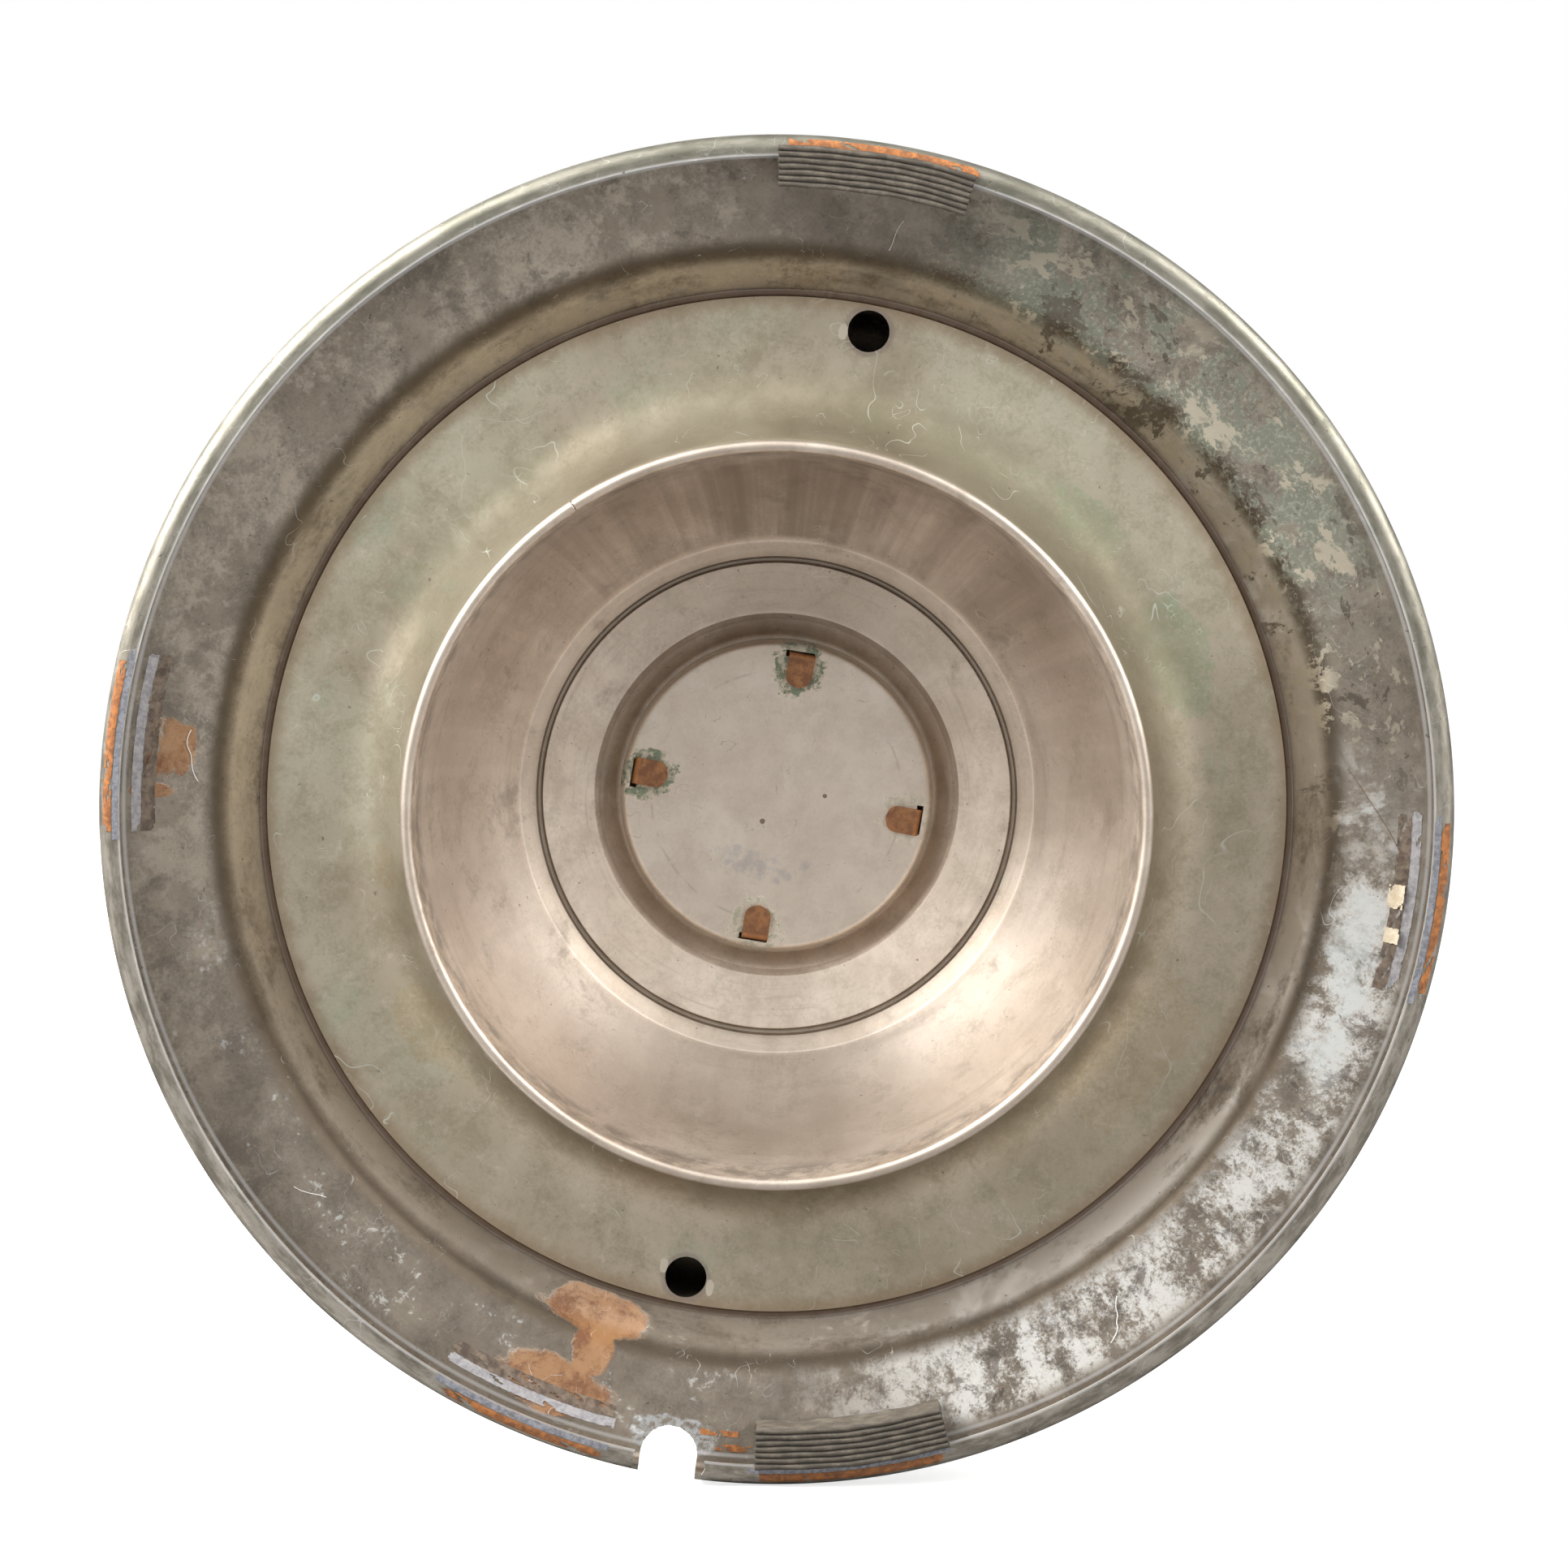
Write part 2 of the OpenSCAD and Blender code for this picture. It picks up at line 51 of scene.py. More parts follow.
FLOOR_HALF = 3.0    # metres from the middle of a floor to its edge
rng = random.Random(7)

# ---- sizes of the visible shells, mm
BASE_R, SHEET, LIP_Z, LIP_R, RIM_ROUND = 150.0, 1.2, 2.6, 145.3, 3
BRIM_Z, RISER_R, RISER_Z, RISER_TOP_R = 13.5, 126.4, 16.7, 116.5
WALL_R, SHOULDER_R, SHOULDER_Z, TOP_FLAT_R, CLEAR_R = 114.6, 112.4, 44, 50, 12.5
PLATE_Z, PLATE_R, PLATE_SHEET = 25.5, 114.4, 0.8
COLLAR_R, COLLAR_END_Z, COVE_R = 83.2, 2.66, 16
BEAD_R, BEAD_SECTION, BEAD_CURL = 81.9, 1.28, 290
FUNNEL_R, FUNNEL_Z, FUNNEL_ROUND = 78.8, 30.0, 66
CREASE_R, CREASE_Z, HUB_SHEET = 58.8, 51.0, 0.6
GROOVE_OUT_R, GROOVE_IN_R, GROOVE_LEAN = 55.0, 53.5, 0.4
GROOVE_FOOT_Z, GROOVE_LIP_Z, GROOVE_TOP_Z = 53.1, 53.8, 54.6
RECESS_R, RECESS_Z, STEP_R, STEP_Z, FLOOR_R, FLOOR_Z = 41.8, 57.6, 40.4, 58.9, 36.6, 61.3
CAP_R, CAP_Z, CAP_SHEET = 35.8, 53.6, 1.0
TAB_R, TAB_W, TAB_LENGTH, TAB_T, SLOT_PLAY = 33.3, 6.0, 7.9, 0.9, 0.3
CLIP_RIM, BOLT_REACH, BOLT_TURN, BOLT_HOLE_R = 0.4, 29, 45, 2.75
HOLE_R, HOLE_REACH, HOLE_TURN = 4.7, 108.5, 91.4
NOTCH_W, NOTCH_REACH, LIP_NOTCH_W = 12.8, 140.3, 16.6
PAD_IN, PAD_OUT, PAD_SPAN, PAD_RIBS, RIB_DEPTH = 138.4, 147.7, 17.2, 7, 0.45
LIP_GLUE, HOOK_GLUE, BRIM_GLUE = 0.2, 0.3, 0.6
REAR_PAD, FRONT_PAD, FRONT_SHIFT = 89.2, 253.8, 1.6
LOST_PADS = (178.7, 283.5, 356.8)
BRIM_SLOPE = (RISER_Z - BRIM_Z) / (BASE_R - RISER_R)
LEDGE_Z = PLATE_Z + PLATE_SHEET + SHEET
SHELL_TOP = FLOOR_Z + HUB_SHEET + SHEET
CLIP_Z = FLOOR_Z - TAB_T


def brim_under(r):
    """Height of the brim's underside at radius r."""
    return BRIM_Z - SHEET * math.hypot(1, BRIM_SLOPE) + (BASE_R - r) * BRIM_SLOPE


def under_casing(r):
    """Height of the casing's visible face at radius r: the lip, its rolled corner, or the brim."""
    if r < LIP_R:
        return brim_under(r)
    bend = max(0.0, r - (BASE_R - RIM_ROUND))
    return LIP_Z + RIM_ROUND - math.sqrt(max(0.0, RIM_ROUND ** 2 - bend ** 2))


# ---- outlines
def rounded(points, step=4.0):
    """(radius, height) points from (radius, height, corner radius) ones."""
    out = [np.array(points[0][:2], float)]
    for i in range(1, len(points) - 1):
        a, b, c = (np.array(points[j][:2], float) for j in (i - 1, i, i + 1))
        r = points[i][2]
        u, v = (b - a) / np.linalg.norm(b - a), (c - b) / np.linalg.norm(c - b)
        t = math.atan2(u[0] * v[1] - u[1] * v[0], u @ v)
        if r == 0 or abs(t) < 1e-3:
            out.append(b)
            continue
        s = b - u * r * math.tan(abs(t) / 2)
        o = s + math.copysign(r, t) * np.array([-u[1], u[0]])
        n = max(3, math.ceil(abs(math.degrees(t)) / step))
        for k in range(n + 1):
            q = t * k / n
            d = s - o
            out.append(o + np.array([d[0] * math.cos(q) - d[1] * math.sin(q),
                                     d[0] * math.sin(q) + d[1] * math.cos(q)]))
    out.append(np.array(points[-1][:2], float))
    return out


def finer(path, longest=2.5):
    """The path with its long stretches divided, so that they can be dented."""
    out = [path[0]]
    for a, b in zip(path, path[1:]):
        n = max(1, math.ceil(np.linalg.norm(b - a) / longest))
        out += [a + (b - a) * k / n for k in range(1, n + 1)]
    return out


def strip(path, t):
    """A closed outline of sheet t thick, to the left of the path or to its right if t is negative."""
    sides = [np.array([-(b - a)[1], (b - a)[0]]) / np.linalg.norm(b - a)
             for a, b in zip(path, path[1:])]
    back = []
    for i, p in enumerate(path):
        s = sides[max(i - 1, 0)] + sides[min(i, len(sides) - 1)]
        back.append(p + t * 2 * s / (s @ s))
    return path + back[::-1]


# ---- meshes
def placed(name, data):
    """A new object in the scene."""
    made = bpy.data.objects.new(name, data)
    bpy.context.scene.collection.objects.link(made)
    return made


def piece(name, mesh, slot, stands_for=(), material=None, sharp=35):
    """A shaded piece that rides on the base, in its slot's material unless it has its own."""
    mesh.shade_smooth()
    mesh.set_sharp_from_angle(angle=math.radians(sharp))
    made = placed(name, mesh)
    mesh.materials.clear()
    mesh.materials.append(material or MATERIALS[slot])
    if stands_for:
        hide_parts(*stands_for)
    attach(made, "base")
    return made


def mesh_of(name, verts, faces):
    mesh = bpy.data.meshes.new(name)
    mesh.from_pydata([tuple(float(c) * MM for c in v) for v in verts], [], faces)
    work = bmesh.new()
    work.from_mesh(mesh)
    bmesh.ops.remove_doubles(work, verts=work.verts, dist=1e-7)
    bmesh.ops.recalc_face_normals(work, faces=work.faces)
    work.to_mesh(mesh)
    work.free()
    return mesh


def lathe(name, outline, dent=None):
    """The outline turned round the axis; dent(r, z, turn) gives how far (out, up) it is off true."""
    p = np.array(outline)
    turn = np.linspace(0, 2 * math.pi, SEGMENTS, endpoint=False)
    r = np.repeat(p[:, 0][:, None], SEGMENTS, 1)
    z = np.repeat(p[:, 1][:, None], SEGMENTS, 1)
    a = np.repeat(turn[None, :], len(p), 0)
    if dent:
        out, up = dent(r, z, a)
        r, z = r + out, z + up
    verts = np.stack([r * np.cos(a), r * np.sin(a), z], -1).reshape(-1, 3)
    n = len(p)
    faces = [(i * SEGMENTS + j, i * SEGMENTS + (j + 1) % SEGMENTS,
              (i + 1) % n * SEGMENTS + (j + 1) % SEGMENTS, (i + 1) % n * SEGMENTS + j)
             for i in range(n) for j in range(SEGMENTS)]
    return mesh_of(name, verts, faces)


def prism(outline, low, high):
    """An upright prism over a flat outline, to be cut out of a shell."""
    n = len(outline)
    verts = [(x, y, low) for x, y in outline] + [(x, y, high) for x, y in outline]
    faces = [tuple(range(n))[::-1], tuple(range(n, 2 * n))]
    faces += [(i, (i + 1) % n, n + (i + 1) % n, n + i) for i in range(n)]
    return mesh_of("tool", verts, faces)


def cut(mesh, tools):
    """The mesh with the tools taken out of it."""
    body = placed("cut_body", mesh)
    helpers = []
    for tool in tools:
        helper = placed("cut_tool", tool)
        step = body.modifiers.new("cut", "BOOLEAN")
        step.operation, step.object, step.solver = "DIFFERENCE", helper, "MANIFOLD"
        helpers.append(helper)
    graph = bpy.context.evaluated_depsgraph_get()
    result = bpy.data.meshes.new_from_object(body.evaluated_get(graph))
    for o in [body, *helpers]:
        bpy.data.objects.remove(o)
    return result


def circle_at(reach, turn, radius, rough=0.0):
    """A round outline at a polar place, with its edge off true by up to rough."""
    cx, cy = reach * math.cos(math.radians(turn)), reach * math.sin(math.radians(turn))
    points = []
    for i in range(CIRCLE_SIDES):
        a, r = 2 * math.pi * i / CIRCLE_SIDES, radius + rng.uniform(-rough, 0)
        points.append((cx + r * math.cos(a), cy + r * math.sin(a)))
    return points


def bolt_holes(low, high):
    """What the column's four bolt holes take out of a sheet."""
    return [prism(circle_at(BOLT_REACH, BOLT_TURN + 90 * i, BOLT_HOLE_R), low, high) for i in range(4)]


def spun_dents(depth, places=()):
    """Slow unevenness of hand-spun sheet, with dents (radius, turn in degrees, size, depth)."""
    def off(r, z, a):
        wave = (0.5 * np.sin(3 * a + 0.8 + r * 0.02) + 0.3 * np.sin(5 * a + 2.1 + z * 0.05)
                + 0.2 * np.sin(9 * a + 4.0 + r * 0.05))
        up = depth * (wave + 1) / 2
        for place_r, turn, size, deep in places:
            t = math.radians(turn)
            gap2 = ((r * np.cos(a) - place_r * math.cos(t)) ** 2
                    + (r * np.sin(a) - place_r * math.sin(t)) ** 2)
            up = up + deep * np.exp(-gap2 / size ** 2)
        return -depth * 0.4 * (1 + wave) / 2, up
    return off


# ---- materials
class Value:
    """A number or vector in a material's node tree, with arithmetic."""

    def __init__(self, paint, socket):
        self.paint, self.socket = paint, socket

    def __add__(self, other):
        return self.paint.math("ADD", self, other)

    def __sub__(self, other):
        return self.paint.math("SUBTRACT", self, other)

    def __rsub__(self, other):
        return self.paint.math("SUBTRACT", other, self)

    def __mul__(self, other):
        return self.paint.math("MULTIPLY", self, other)

    def __truediv__(self, other):
        return self.paint.math("DIVIDE", self, other)

    def __or__(self, other):
        return self.paint.math("MAXIMUM", self, other)

    __radd__, __rmul__ = __add__, __mul__


class Paint:
    """A procedural material. Lengths are in millimetres, turns in degrees about the axis."""

    def __init__(self, name):
        self.colour = None
        self.material = bpy.data.materials.new(name)
        self.material.use_nodes = True
        self.tree = self.material.node_tree
        self.shader = self.tree.nodes["Principled BSDF"]
        where = self.tree.nodes.new("ShaderNodeTexCoord")
        place = where.outputs["Object"]
        scaled = self.tree.nodes.new("ShaderNodeVectorMath")
        scaled.operation = "SCALE"
        scaled.inputs["Scale"].default_value = 1000
        self.tree.links.new(place, scaled.inputs[0])
        self.at = Value(self, scaled.outputs[0])
        split = self.tree.nodes.new("ShaderNodeSeparateXYZ")
        self.tree.links.new(scaled.outputs[0], split.inputs[0])
        self.x, self.y, self.z = (Value(self, s) for s in split.outputs)
        self.r = self.math("SQRT", self.x * self.x + self.y * self.y)
        angle = self.math("ARCTAN2", self.y, self.x)
        self.turn = angle * (180 / math.pi)
        self.cos, self.sin = self.math("COSINE", angle), self.math("SINE", angle)
        facing = self.tree.nodes.new("ShaderNodeSeparateXYZ")
        self.tree.links.new(where.outputs["Normal"], facing.inputs[0])
        self.down = self.step(Value(self, facing.outputs[2]), 0.05, -0.05)

    def feed(self, socket, value):
        if isinstance(value, Value):
            self.tree.links.new(value.socket, socket)
        elif isinstance(value, tuple):
            socket.default_value = (*value, 1.0) if len(socket.default_value) == 4 else value
        else:
            socket.default_value = value

    def math(self, operation, *values):
        made = self.tree.nodes.new("ShaderNodeMath")
        made.operation = operation
        for socket, value in zip(made.inputs, values):
            self.feed(socket, value)
        return Value(self, made.outputs[0])

    def step(self, value, low, high):
        """0 at low and 1 at high, smoothly; low may be the larger."""
        made = self.tree.nodes.new("ShaderNodeMapRange")
        made.interpolation_type = "SMOOTHSTEP"
        for socket, v in zip(made.inputs, (value, low, high, 0.0, 1.0)):
            self.feed(socket, v)
        return Value(self, made.outputs[0])

    def noise(self, scale, detail, rough=0.55, warp=0.0, along=None, shift=0.0):
        """Cloudy noise from 0 to 1, with about scale cycles a millimetre."""
        made = self.tree.nodes.new("ShaderNodeTexNoise")
        made.noise_dimensions = "4D"
        self.feed(made.inputs["Vector"], along or self.at)
        for name, value in (("W", shift), ("Scale", scale), ("Detail", detail),
                            ("Roughness", rough), ("Distortion", warp)):
            self.feed(made.inputs[name], value)
        return Value(self, made.outputs[0])

    def spots(self, low, high, *noise, **more):
        """Noise made 0 below low and 1 above high; the rest says which noise."""
        return self.step(self.noise(*noise, **more), low, high)

    def round_and_out(self, around, outward):
        """A place to take noise from that is drawn out round the axis, or away from it."""
        made = self.tree.nodes.new("ShaderNodeCombineXYZ")
        for socket, value in zip(made.inputs, (self.cos * around, self.sin * around,
                                               (self.r + self.z * 0.6) * outward)):
            self.feed(socket, value)
        return Value(self, made.outputs[0])

    def mix(self, share, a, b):
        made = self.tree.nodes.new("ShaderNodeMix")
        made.data_type = "RGBA"
        for i, value in ((0, share), (6, a), (7, b)):
            self.feed(made.inputs[i], value)
        return Value(self, made.outputs[2])

    def over(self, share, colour):
        """Lays a colour over the colour so far; share says how much of it, and where."""
        self.colour = self.mix(share, self.colour, colour)

    def away(self, turn):
        """Degrees from a turn, from -180 to 180."""
        return self.math("WRAP", self.turn - turn, 180.0, -180.0)

    def sector(self, turn, half, soft):
        """1 within half degrees of a turn."""
        return self.step(self.math("ABSOLUTE", self.away(turn)), half + soft, half - soft)

    def band(self, low, high, soft):
        """1 between two radii."""
        return self.step(self.r, low - soft, low + soft) * self.step(self.r, high + soft, high - soft)

    def patch(self, r, turn, half_r, half_round, ragged, shift, scale):
        """1 inside a ragged blot: its radius, turn, and half sizes outward and round, in mm."""
        a = (self.r - r) / half_r
        b = self.away(turn) * (r * math.pi / 180 / half_round)
        edge = (self.noise(scale, 6.0, 0.65, shift=shift) - 0.5) * (2 * ragged)
        return self.step(self.math("SQRT", a * a + b * b) + edge, 1.08, 0.92)

    def scratches(self, scale, width, shift):
        """Thin wandering lines."""
        wander = self.math("ABSOLUTE", self.noise(scale, 1.5, 0.5, 0.4, shift=shift) - 0.5)
        rare = self.step(self.noise(scale * 0.7, 2.0, shift=shift + 5), 0.56, 0.62)
        return self.step(wander, width, width * 0.3) * rare

    def finish(self, metal, rough, height):
        """The material, from its colour so far, metalness, roughness and a bump height in millimetres."""
        self.feed(self.shader.inputs["Base Color"], self.colour)
        self.feed(self.shader.inputs["Metallic"], metal)
        self.feed(self.shader.inputs["Roughness"], rough)
        bump = self.tree.nodes.new("ShaderNodeBump")
        bump.inputs["Distance"].default_value = MM
        self.feed(bump.inputs["Height"], height)
        self.tree.links.new(bump.outputs[0], self.shader.inputs["Normal"])
        return self.material


NICKEL = (0.65, 0.545, 0.445)
NICKEL_LIGHT = (0.80, 0.70, 0.595)
NICKEL_BROWN = (0.36, 0.295, 0.235)
TARNISH = (0.16, 0.138, 0.115)
TARNISH_DEEP = (0.085, 0.072, 0.058)
OXIDE = (0.68, 0.67, 0.635)
GLUE = (0.35, 0.160, 0.050)
GLUE_DEEP = (0.18, 0.068, 0.024)


def spun_lines(p):
    """Fine turning marks round the axis, as a height in mm."""
    return (p.noise(1.0, 3.0, 0.6, along=p.round_and_out(3.0, 3.2)) - 0.5) * 0.006


def worn(p, dark, amount, shift=0.0):
    """Lays the mottling of handled metal over the colour, and gives the fine grain that breaks it up."""
    mottle = p.noise(0.13, 10.0, 0.74, 0.4, shift=shift + 60)
    grain = p.noise(1.3, 6.0, 0.72, shift=shift + 61)
    share = p.step(mottle + (grain - 0.5) * 0.55, 0.40, 0.68)
    p.over(share * amount, dark)
    return grain


def hub_metal():
    p = Paint("hub_metal")
    cloud = p.noise(0.05, 5.0, 0.6, 0.4)
    funnel = p.band(59.5, 80.0, 0.8)
    p.colour = p.mix(p.step(cloud, 0.35, 0.7), NICKEL, NICKEL_LIGHT)
    grain = worn(p, (0.43, 0.35, 0.27), 0.42)
    # painted shade, with brown tarnish, darkening the upper part of the hub's flat
    shade = p.band(42.0, 58.6, 1.2) * p.sector(88.0, 42.0, 46.0)
    p.over(shade * 0.55, NICKEL_BROWN)
    p.over(funnel * 0.50, (0.63, 0.575, 0.52))
    blotch = p.step(p.noise(0.075, 9.0, 0.70, 0.6, shift=33.0) + (grain - 0.5) * 0.30, 0.50, 0.66)
    p.over(blotch * funnel * 0.42, (0.42, 0.355, 0.27))
    # soot streaks on the funnel, heavier towards the top, where the extra darkening is partly painted shade
    streaks = p.noise(1.0, 6.0, 0.62, 0.3, along=p.round_and_out(13.0, 0.04))
    top = p.sector(88.0, 50.0, 40.0)
    round_soot = p.noise(1.0, 6.0, 0.66, 0.4, along=p.round_and_out(2.6, 0.16), shift=14.0)
    soot_and_painted_shade = (0.10 + 0.40 * top) * p.step(streaks, 0.66, 0.38) + 0.52 * top * p.step(round_soot, 0.38, 0.60)
    soot_and_painted_shade = soot_and_painted_shade * funnel
    p.over(soot_and_painted_shade, NICKEL_BROWN)
    rings = p.noise(1.0, 4.0, 0.6, along=p.round_and_out(2.0, 0.9), shift=2.0)
    p.over(p.step(rings, 0.52, 0.72) * 0.35, NICKEL_BROWN)
    stain = p.spots(0.55, 0.68, 0.09, 7.0, 0.68, 0.3, shift=4.0)
    p.over(stain * 0.42, (0.30, 0.245, 0.19))
    foot = p.band(79.4, 80.8, 0.5) * p.spots(0.40, 0.60, 0.16, 8.0, 0.7, shift=7.0)
    p.over(foot * 0.55, TARNISH)
    p.over(p.step(p.r, 80.6, 81.0) * 0.34, (0.34, 0.30, 0.26))
    # painted shade just outside the groove's inner edge, fading outwards; the band out to the crease is
    # darker too
    painted_crevice_shade = p.step(p.r, 53.3, 53.7) * p.step(p.r, 56.8, 53.8)
    p.over(p.band(54.6, 58.6, 0.5) * 0.30, NICKEL_BROWN)
    p.over(painted_crevice_shade * 0.60, (0.24, 0.19, 0.145))
    # painted highlight along the crease
    p.over(p.band(58.5, 59.2, 0.25) * 0.22, (0.86, 0.82, 0.78))
    green = p.spots(0.60, 0.72, 0.12, 5.0, 0.6, shift=9.0) * p.band(42.0, 60.0, 2.0)
    p.over(green * 0.35, (0.42, 0.44, 0.33))
    specks = p.spots(0.70, 0.76, 0.9, 2.0, 0.5, shift=11.0)
    p.over(specks * 0.6, TARNISH_DEEP)
    rust = p.spots(0.66, 0.72, 0.5, 4.0, 0.7, shift=12.0) * p.band(79.2, 81.2, 0.5)
    p.over(rust * 0.9, (0.13, 0.045, 0.025))
    seam = p.step(p.math("ABSOLUTE", p.away(47.5)), 0.16, 0.05) * p.step(p.r, 80.6, 81.0)
    p.over(seam * 0.8, TARNISH_DEEP)
    marks = p.scratches(0.10, 0.004, 3.0) | p.scratches(0.22, 0.004, 8.0)
    p.over(marks * 0.35, NICKEL_LIGHT)
    rough = 0.41 + 0.12 * cloud + 0.10 * soot_and_painted_shade + 0.10 * stain + 0.10 * grain
    height = (spun_lines(p) + (streaks - 0.5) * 0.008 * funnel
              - specks * 0.03 - marks * 0.01 - seam * 0.1 + (grain - 0.5) * 0.012)
    return p.finish(1.0, rough, height)


def cap_metal():
    p = Paint("cap_metal")
    cloud = p.noise(0.07, 5.0, 0.6, 0.3)
    p.colour = p.mix(p.step(cloud, 0.3, 0.7), (0.80, 0.68, 0.56), (0.90, 0.79, 0.67))
    rubbed = p.spots(0.52, 0.70, 0.25, 7.0, 0.7, shift=3.0)
    p.over(rubbed * 0.20, (0.50, 0.42, 0.34))
    grain = worn(p, (0.56, 0.47, 0.39), 0.32, 2.0)
    smudge = p.patch(17.0, 275.0, 3.0, 10.0, 1.5, 6.0, 0.35)
    smudge = smudge * p.spots(0.42, 0.62, 0.4, 4.0, shift=5.0)
    p.over(smudge * 0.35, (0.40, 0.37, 0.42))
    near_tabs = None
    for turn, amount in ((0.0, 1.0), (90.0, 1.0), (180.0, 0.25), (270.0, 0.45)):
        blot = p.patch(29.8, turn, 6.2, 5.6, 0.95, turn * 0.1, 0.4) * amount
        near_tabs = blot if near_tabs is None else near_tabs | blot
    crust = near_tabs * p.spots(0.44, 0.58, 0.7, 6.0, 0.7, shift=1.0)
    p.over(near_tabs * 0.48, (0.36, 0.38, 0.26))
    p.over(crust * 0.85, (0.16, 0.235, 0.155))
    # painted shade round the cap's rounded edge
    rim = p.band(35.0, 37.0, 0.5)
    p.over(rim * 0.40, (0.26, 0.215, 0.17))
    specks = p.spots(0.72, 0.76, 0.8, 2.0, shift=14.0)
    p.over(specks * 0.7, TARNISH_DEEP)
    pit = p.patch(6.6, 290.0, 0.7, 0.6, 0.5, 2.0, 1.2) | p.patch(11.0, 170.0, 0.5, 0.5, 0.5, 4.0, 1.2)
    p.over(pit * 0.8, (0.16, 0.11, 0.08))
    line = p.band(28.4, 28.9, 0.25) * p.spots(0.50, 0.60, 0.15, 4.0, shift=17.0)
    marks = p.scratches(0.16, 0.004, 3.0) | line * 0.6
    p.over(marks * 0.5, (0.30, 0.25, 0.21))
    height = spun_lines(p) * 0.4 + crust * 0.12 - specks * 0.03 + (grain - 0.5) * 0.008
    return p.finish(1.0 - near_tabs * 0.5, 0.42 + rubbed * 0.08 + near_tabs * 0.2, height)


def plate_metal():
    p = Paint("plate_metal")
    cloud = p.noise(0.028, 6.0, 0.62, 0.6)
    tan, sage, khaki = (0.580, 0.495, 0.385), (0.505, 0.480, 0.370), (0.475, 0.400, 0.295)
    p.colour = p.mix(p.step(cloud, 0.40, 0.62), tan, khaki)
    veil = p.sector(55.0, 95.0, 50.0) * p.spots(0.30, 0.60, 0.022, 5.0, 0.6, shift=3.0)
    p.over(veil * 0.85, sage)
    bloom = p.spots(0.55, 0.68, 0.035, 6.0, 0.62, 0.8, shift=8.0)
    p.over(bloom * 0.42 * p.sector(70.0, 120.0, 50.0), (0.37, 0.455, 0.335))
    for turn, r, size, deep in ((122.0, 93.0, 9.0, 0.7), (165.0, 99.0, 4.5, 0.6), (63.0, 100.0, 8.0, 0.45),
                                (22.0, 97.0, 6.0, 0.5), (5.0, 104.0, 3.5, 0.5), (271.0, 103.0, 6.0, 0.55)):
        spot = p.patch(r, turn, size * 0.6, size, 0.9, turn, 0.16)
        p.over(spot * deep * 0.6 * p.spots(0.34, 0.62, 0.5, 6.0, 0.7, shift=turn), (0.33, 0.43, 0.29))
    drips = p.noise(1.0, 4.0, 0.6, along=p.round_and_out(22.0, 0.03), shift=5.0)
    p.over(p.step(drips, 0.56, 0.72) * 0.30, (0.36, 0.32, 0.23))
    pale = p.spots(0.54, 0.66, 0.16, 8.0, 0.72, shift=6.0)
    p.over(pale * 0.40, (0.72, 0.64, 0.53))
    grain = worn(p, (0.33, 0.285, 0.195), 0.60, 4.0)
    brown = p.spots(0.58, 0.72, 0.06, 6.0, 0.65, 0.5, shift=15.0) * p.sector(250.0, 100.0, 40.0)
    p.over(brown * 0.35, (0.38, 0.31, 0.21))
    ochre = p.patch(93.0, 318.0, 7.0, 12.0, 0.9, 41.0, 0.12)
    ochre = ochre | p.patch(88.5, 342.0, 2.4, 5.0, 0.8, 42.0, 0.25)
    ochre = ochre | p.patch(98.0, 205.0, 9.0, 22.0, 1.0, 43.0, 0.08) * 0.7
    p.over(ochre * 0.42 * p.step(grain, 0.30, 0.60), (0.46, 0.345, 0.19))
    smear = p.patch(97.0, 150.0, 7.0, 13.0, 1.1, 44.0, 0.10)
    smear = smear | p.patch(95.0, 128.0, 6.0, 9.0, 1.1, 45.0, 0.12)
    p.over(smear * 0.40 * p.step(grain, 0.28, 0.58), (0.30, 0.40, 0.24))
    edge = p.step(p.r + (p.noise(0.25, 5.0) - 0.5) * 3.0, 110.0, 114.6)
    p.over(edge * 0.62, (0.26, 0.185, 0.115))
    # painted shade beside the bead, with tarnish, darker on the upper side
    collar_shade_and_tarnish = p.step(p.r + (p.noise(0.12, 6.0, 0.66, shift=31.0) - 0.5) * 5.0, 94.0, 85.0)
    p.over(collar_shade_and_tarnish * (0.45 + 0.30 * p.sector(90.0, 60.0, 40.0)), (0.20, 0.165, 0.11))
    # painted shade over the cove's upper side
    cove_painted_shade = p.band(86.0, 98.0, 4.0) * p.sector(88.0, 75.0, 45.0)
    p.over(cove_painted_shade * (0.42 + 0.30 * p.step(cloud, 0.40, 0.60)), (0.25, 0.22, 0.15))
    rims = None
    for turn in (HOLE_TURN, HOLE_TURN + 180):
        away = p.patch(HOLE_REACH, turn, HOLE_R + 1.0, HOLE_R + 1.0, 0.16, turn, 0.5)
        rims = away if rims is None else rims | away
    p.over(rims * 0.45, (0.27, 0.215, 0.20))
    flake = p.patch(107.5, 88.4, 1.9, 1.1, 0.6, 4.0, 0.6) | p.patch(107.0, 274.3, 1.6, 0.9, 0.6, 5.0, 0.6)
    flake = flake | p.patch(110.0, 268.4, 1.8, 0.9, 0.6, 6.0, 0.6)
    p.over(flake * 0.85, (0.72, 0.64, 0.52))
    specks = p.spots(0.71, 0.76, 0.7, 2.0, shift=21.0)
    p.over(specks * 0.55, TARNISH_DEEP)
    marks = p.scratches(0.09, 0.0045, 3.0) | p.scratches(0.2, 0.004, 13.0) | p.scratches(0.05, 0.003, 47.0)
    p.over(marks * 0.60, (0.68, 0.70, 0.62))
    rough = 0.42 + 0.12 * veil + 0.10 * cloud + 0.15 * edge + 0.14 * collar_shade_and_tarnish + 0.12 * cove_painted_shade
    height = spun_lines(p) * 0.6 - specks * 0.02 + bloom * 0.01 + (grain - 0.5) * 0.018
    return p.finish(1.0 - 0.35 * veil, rough, height)


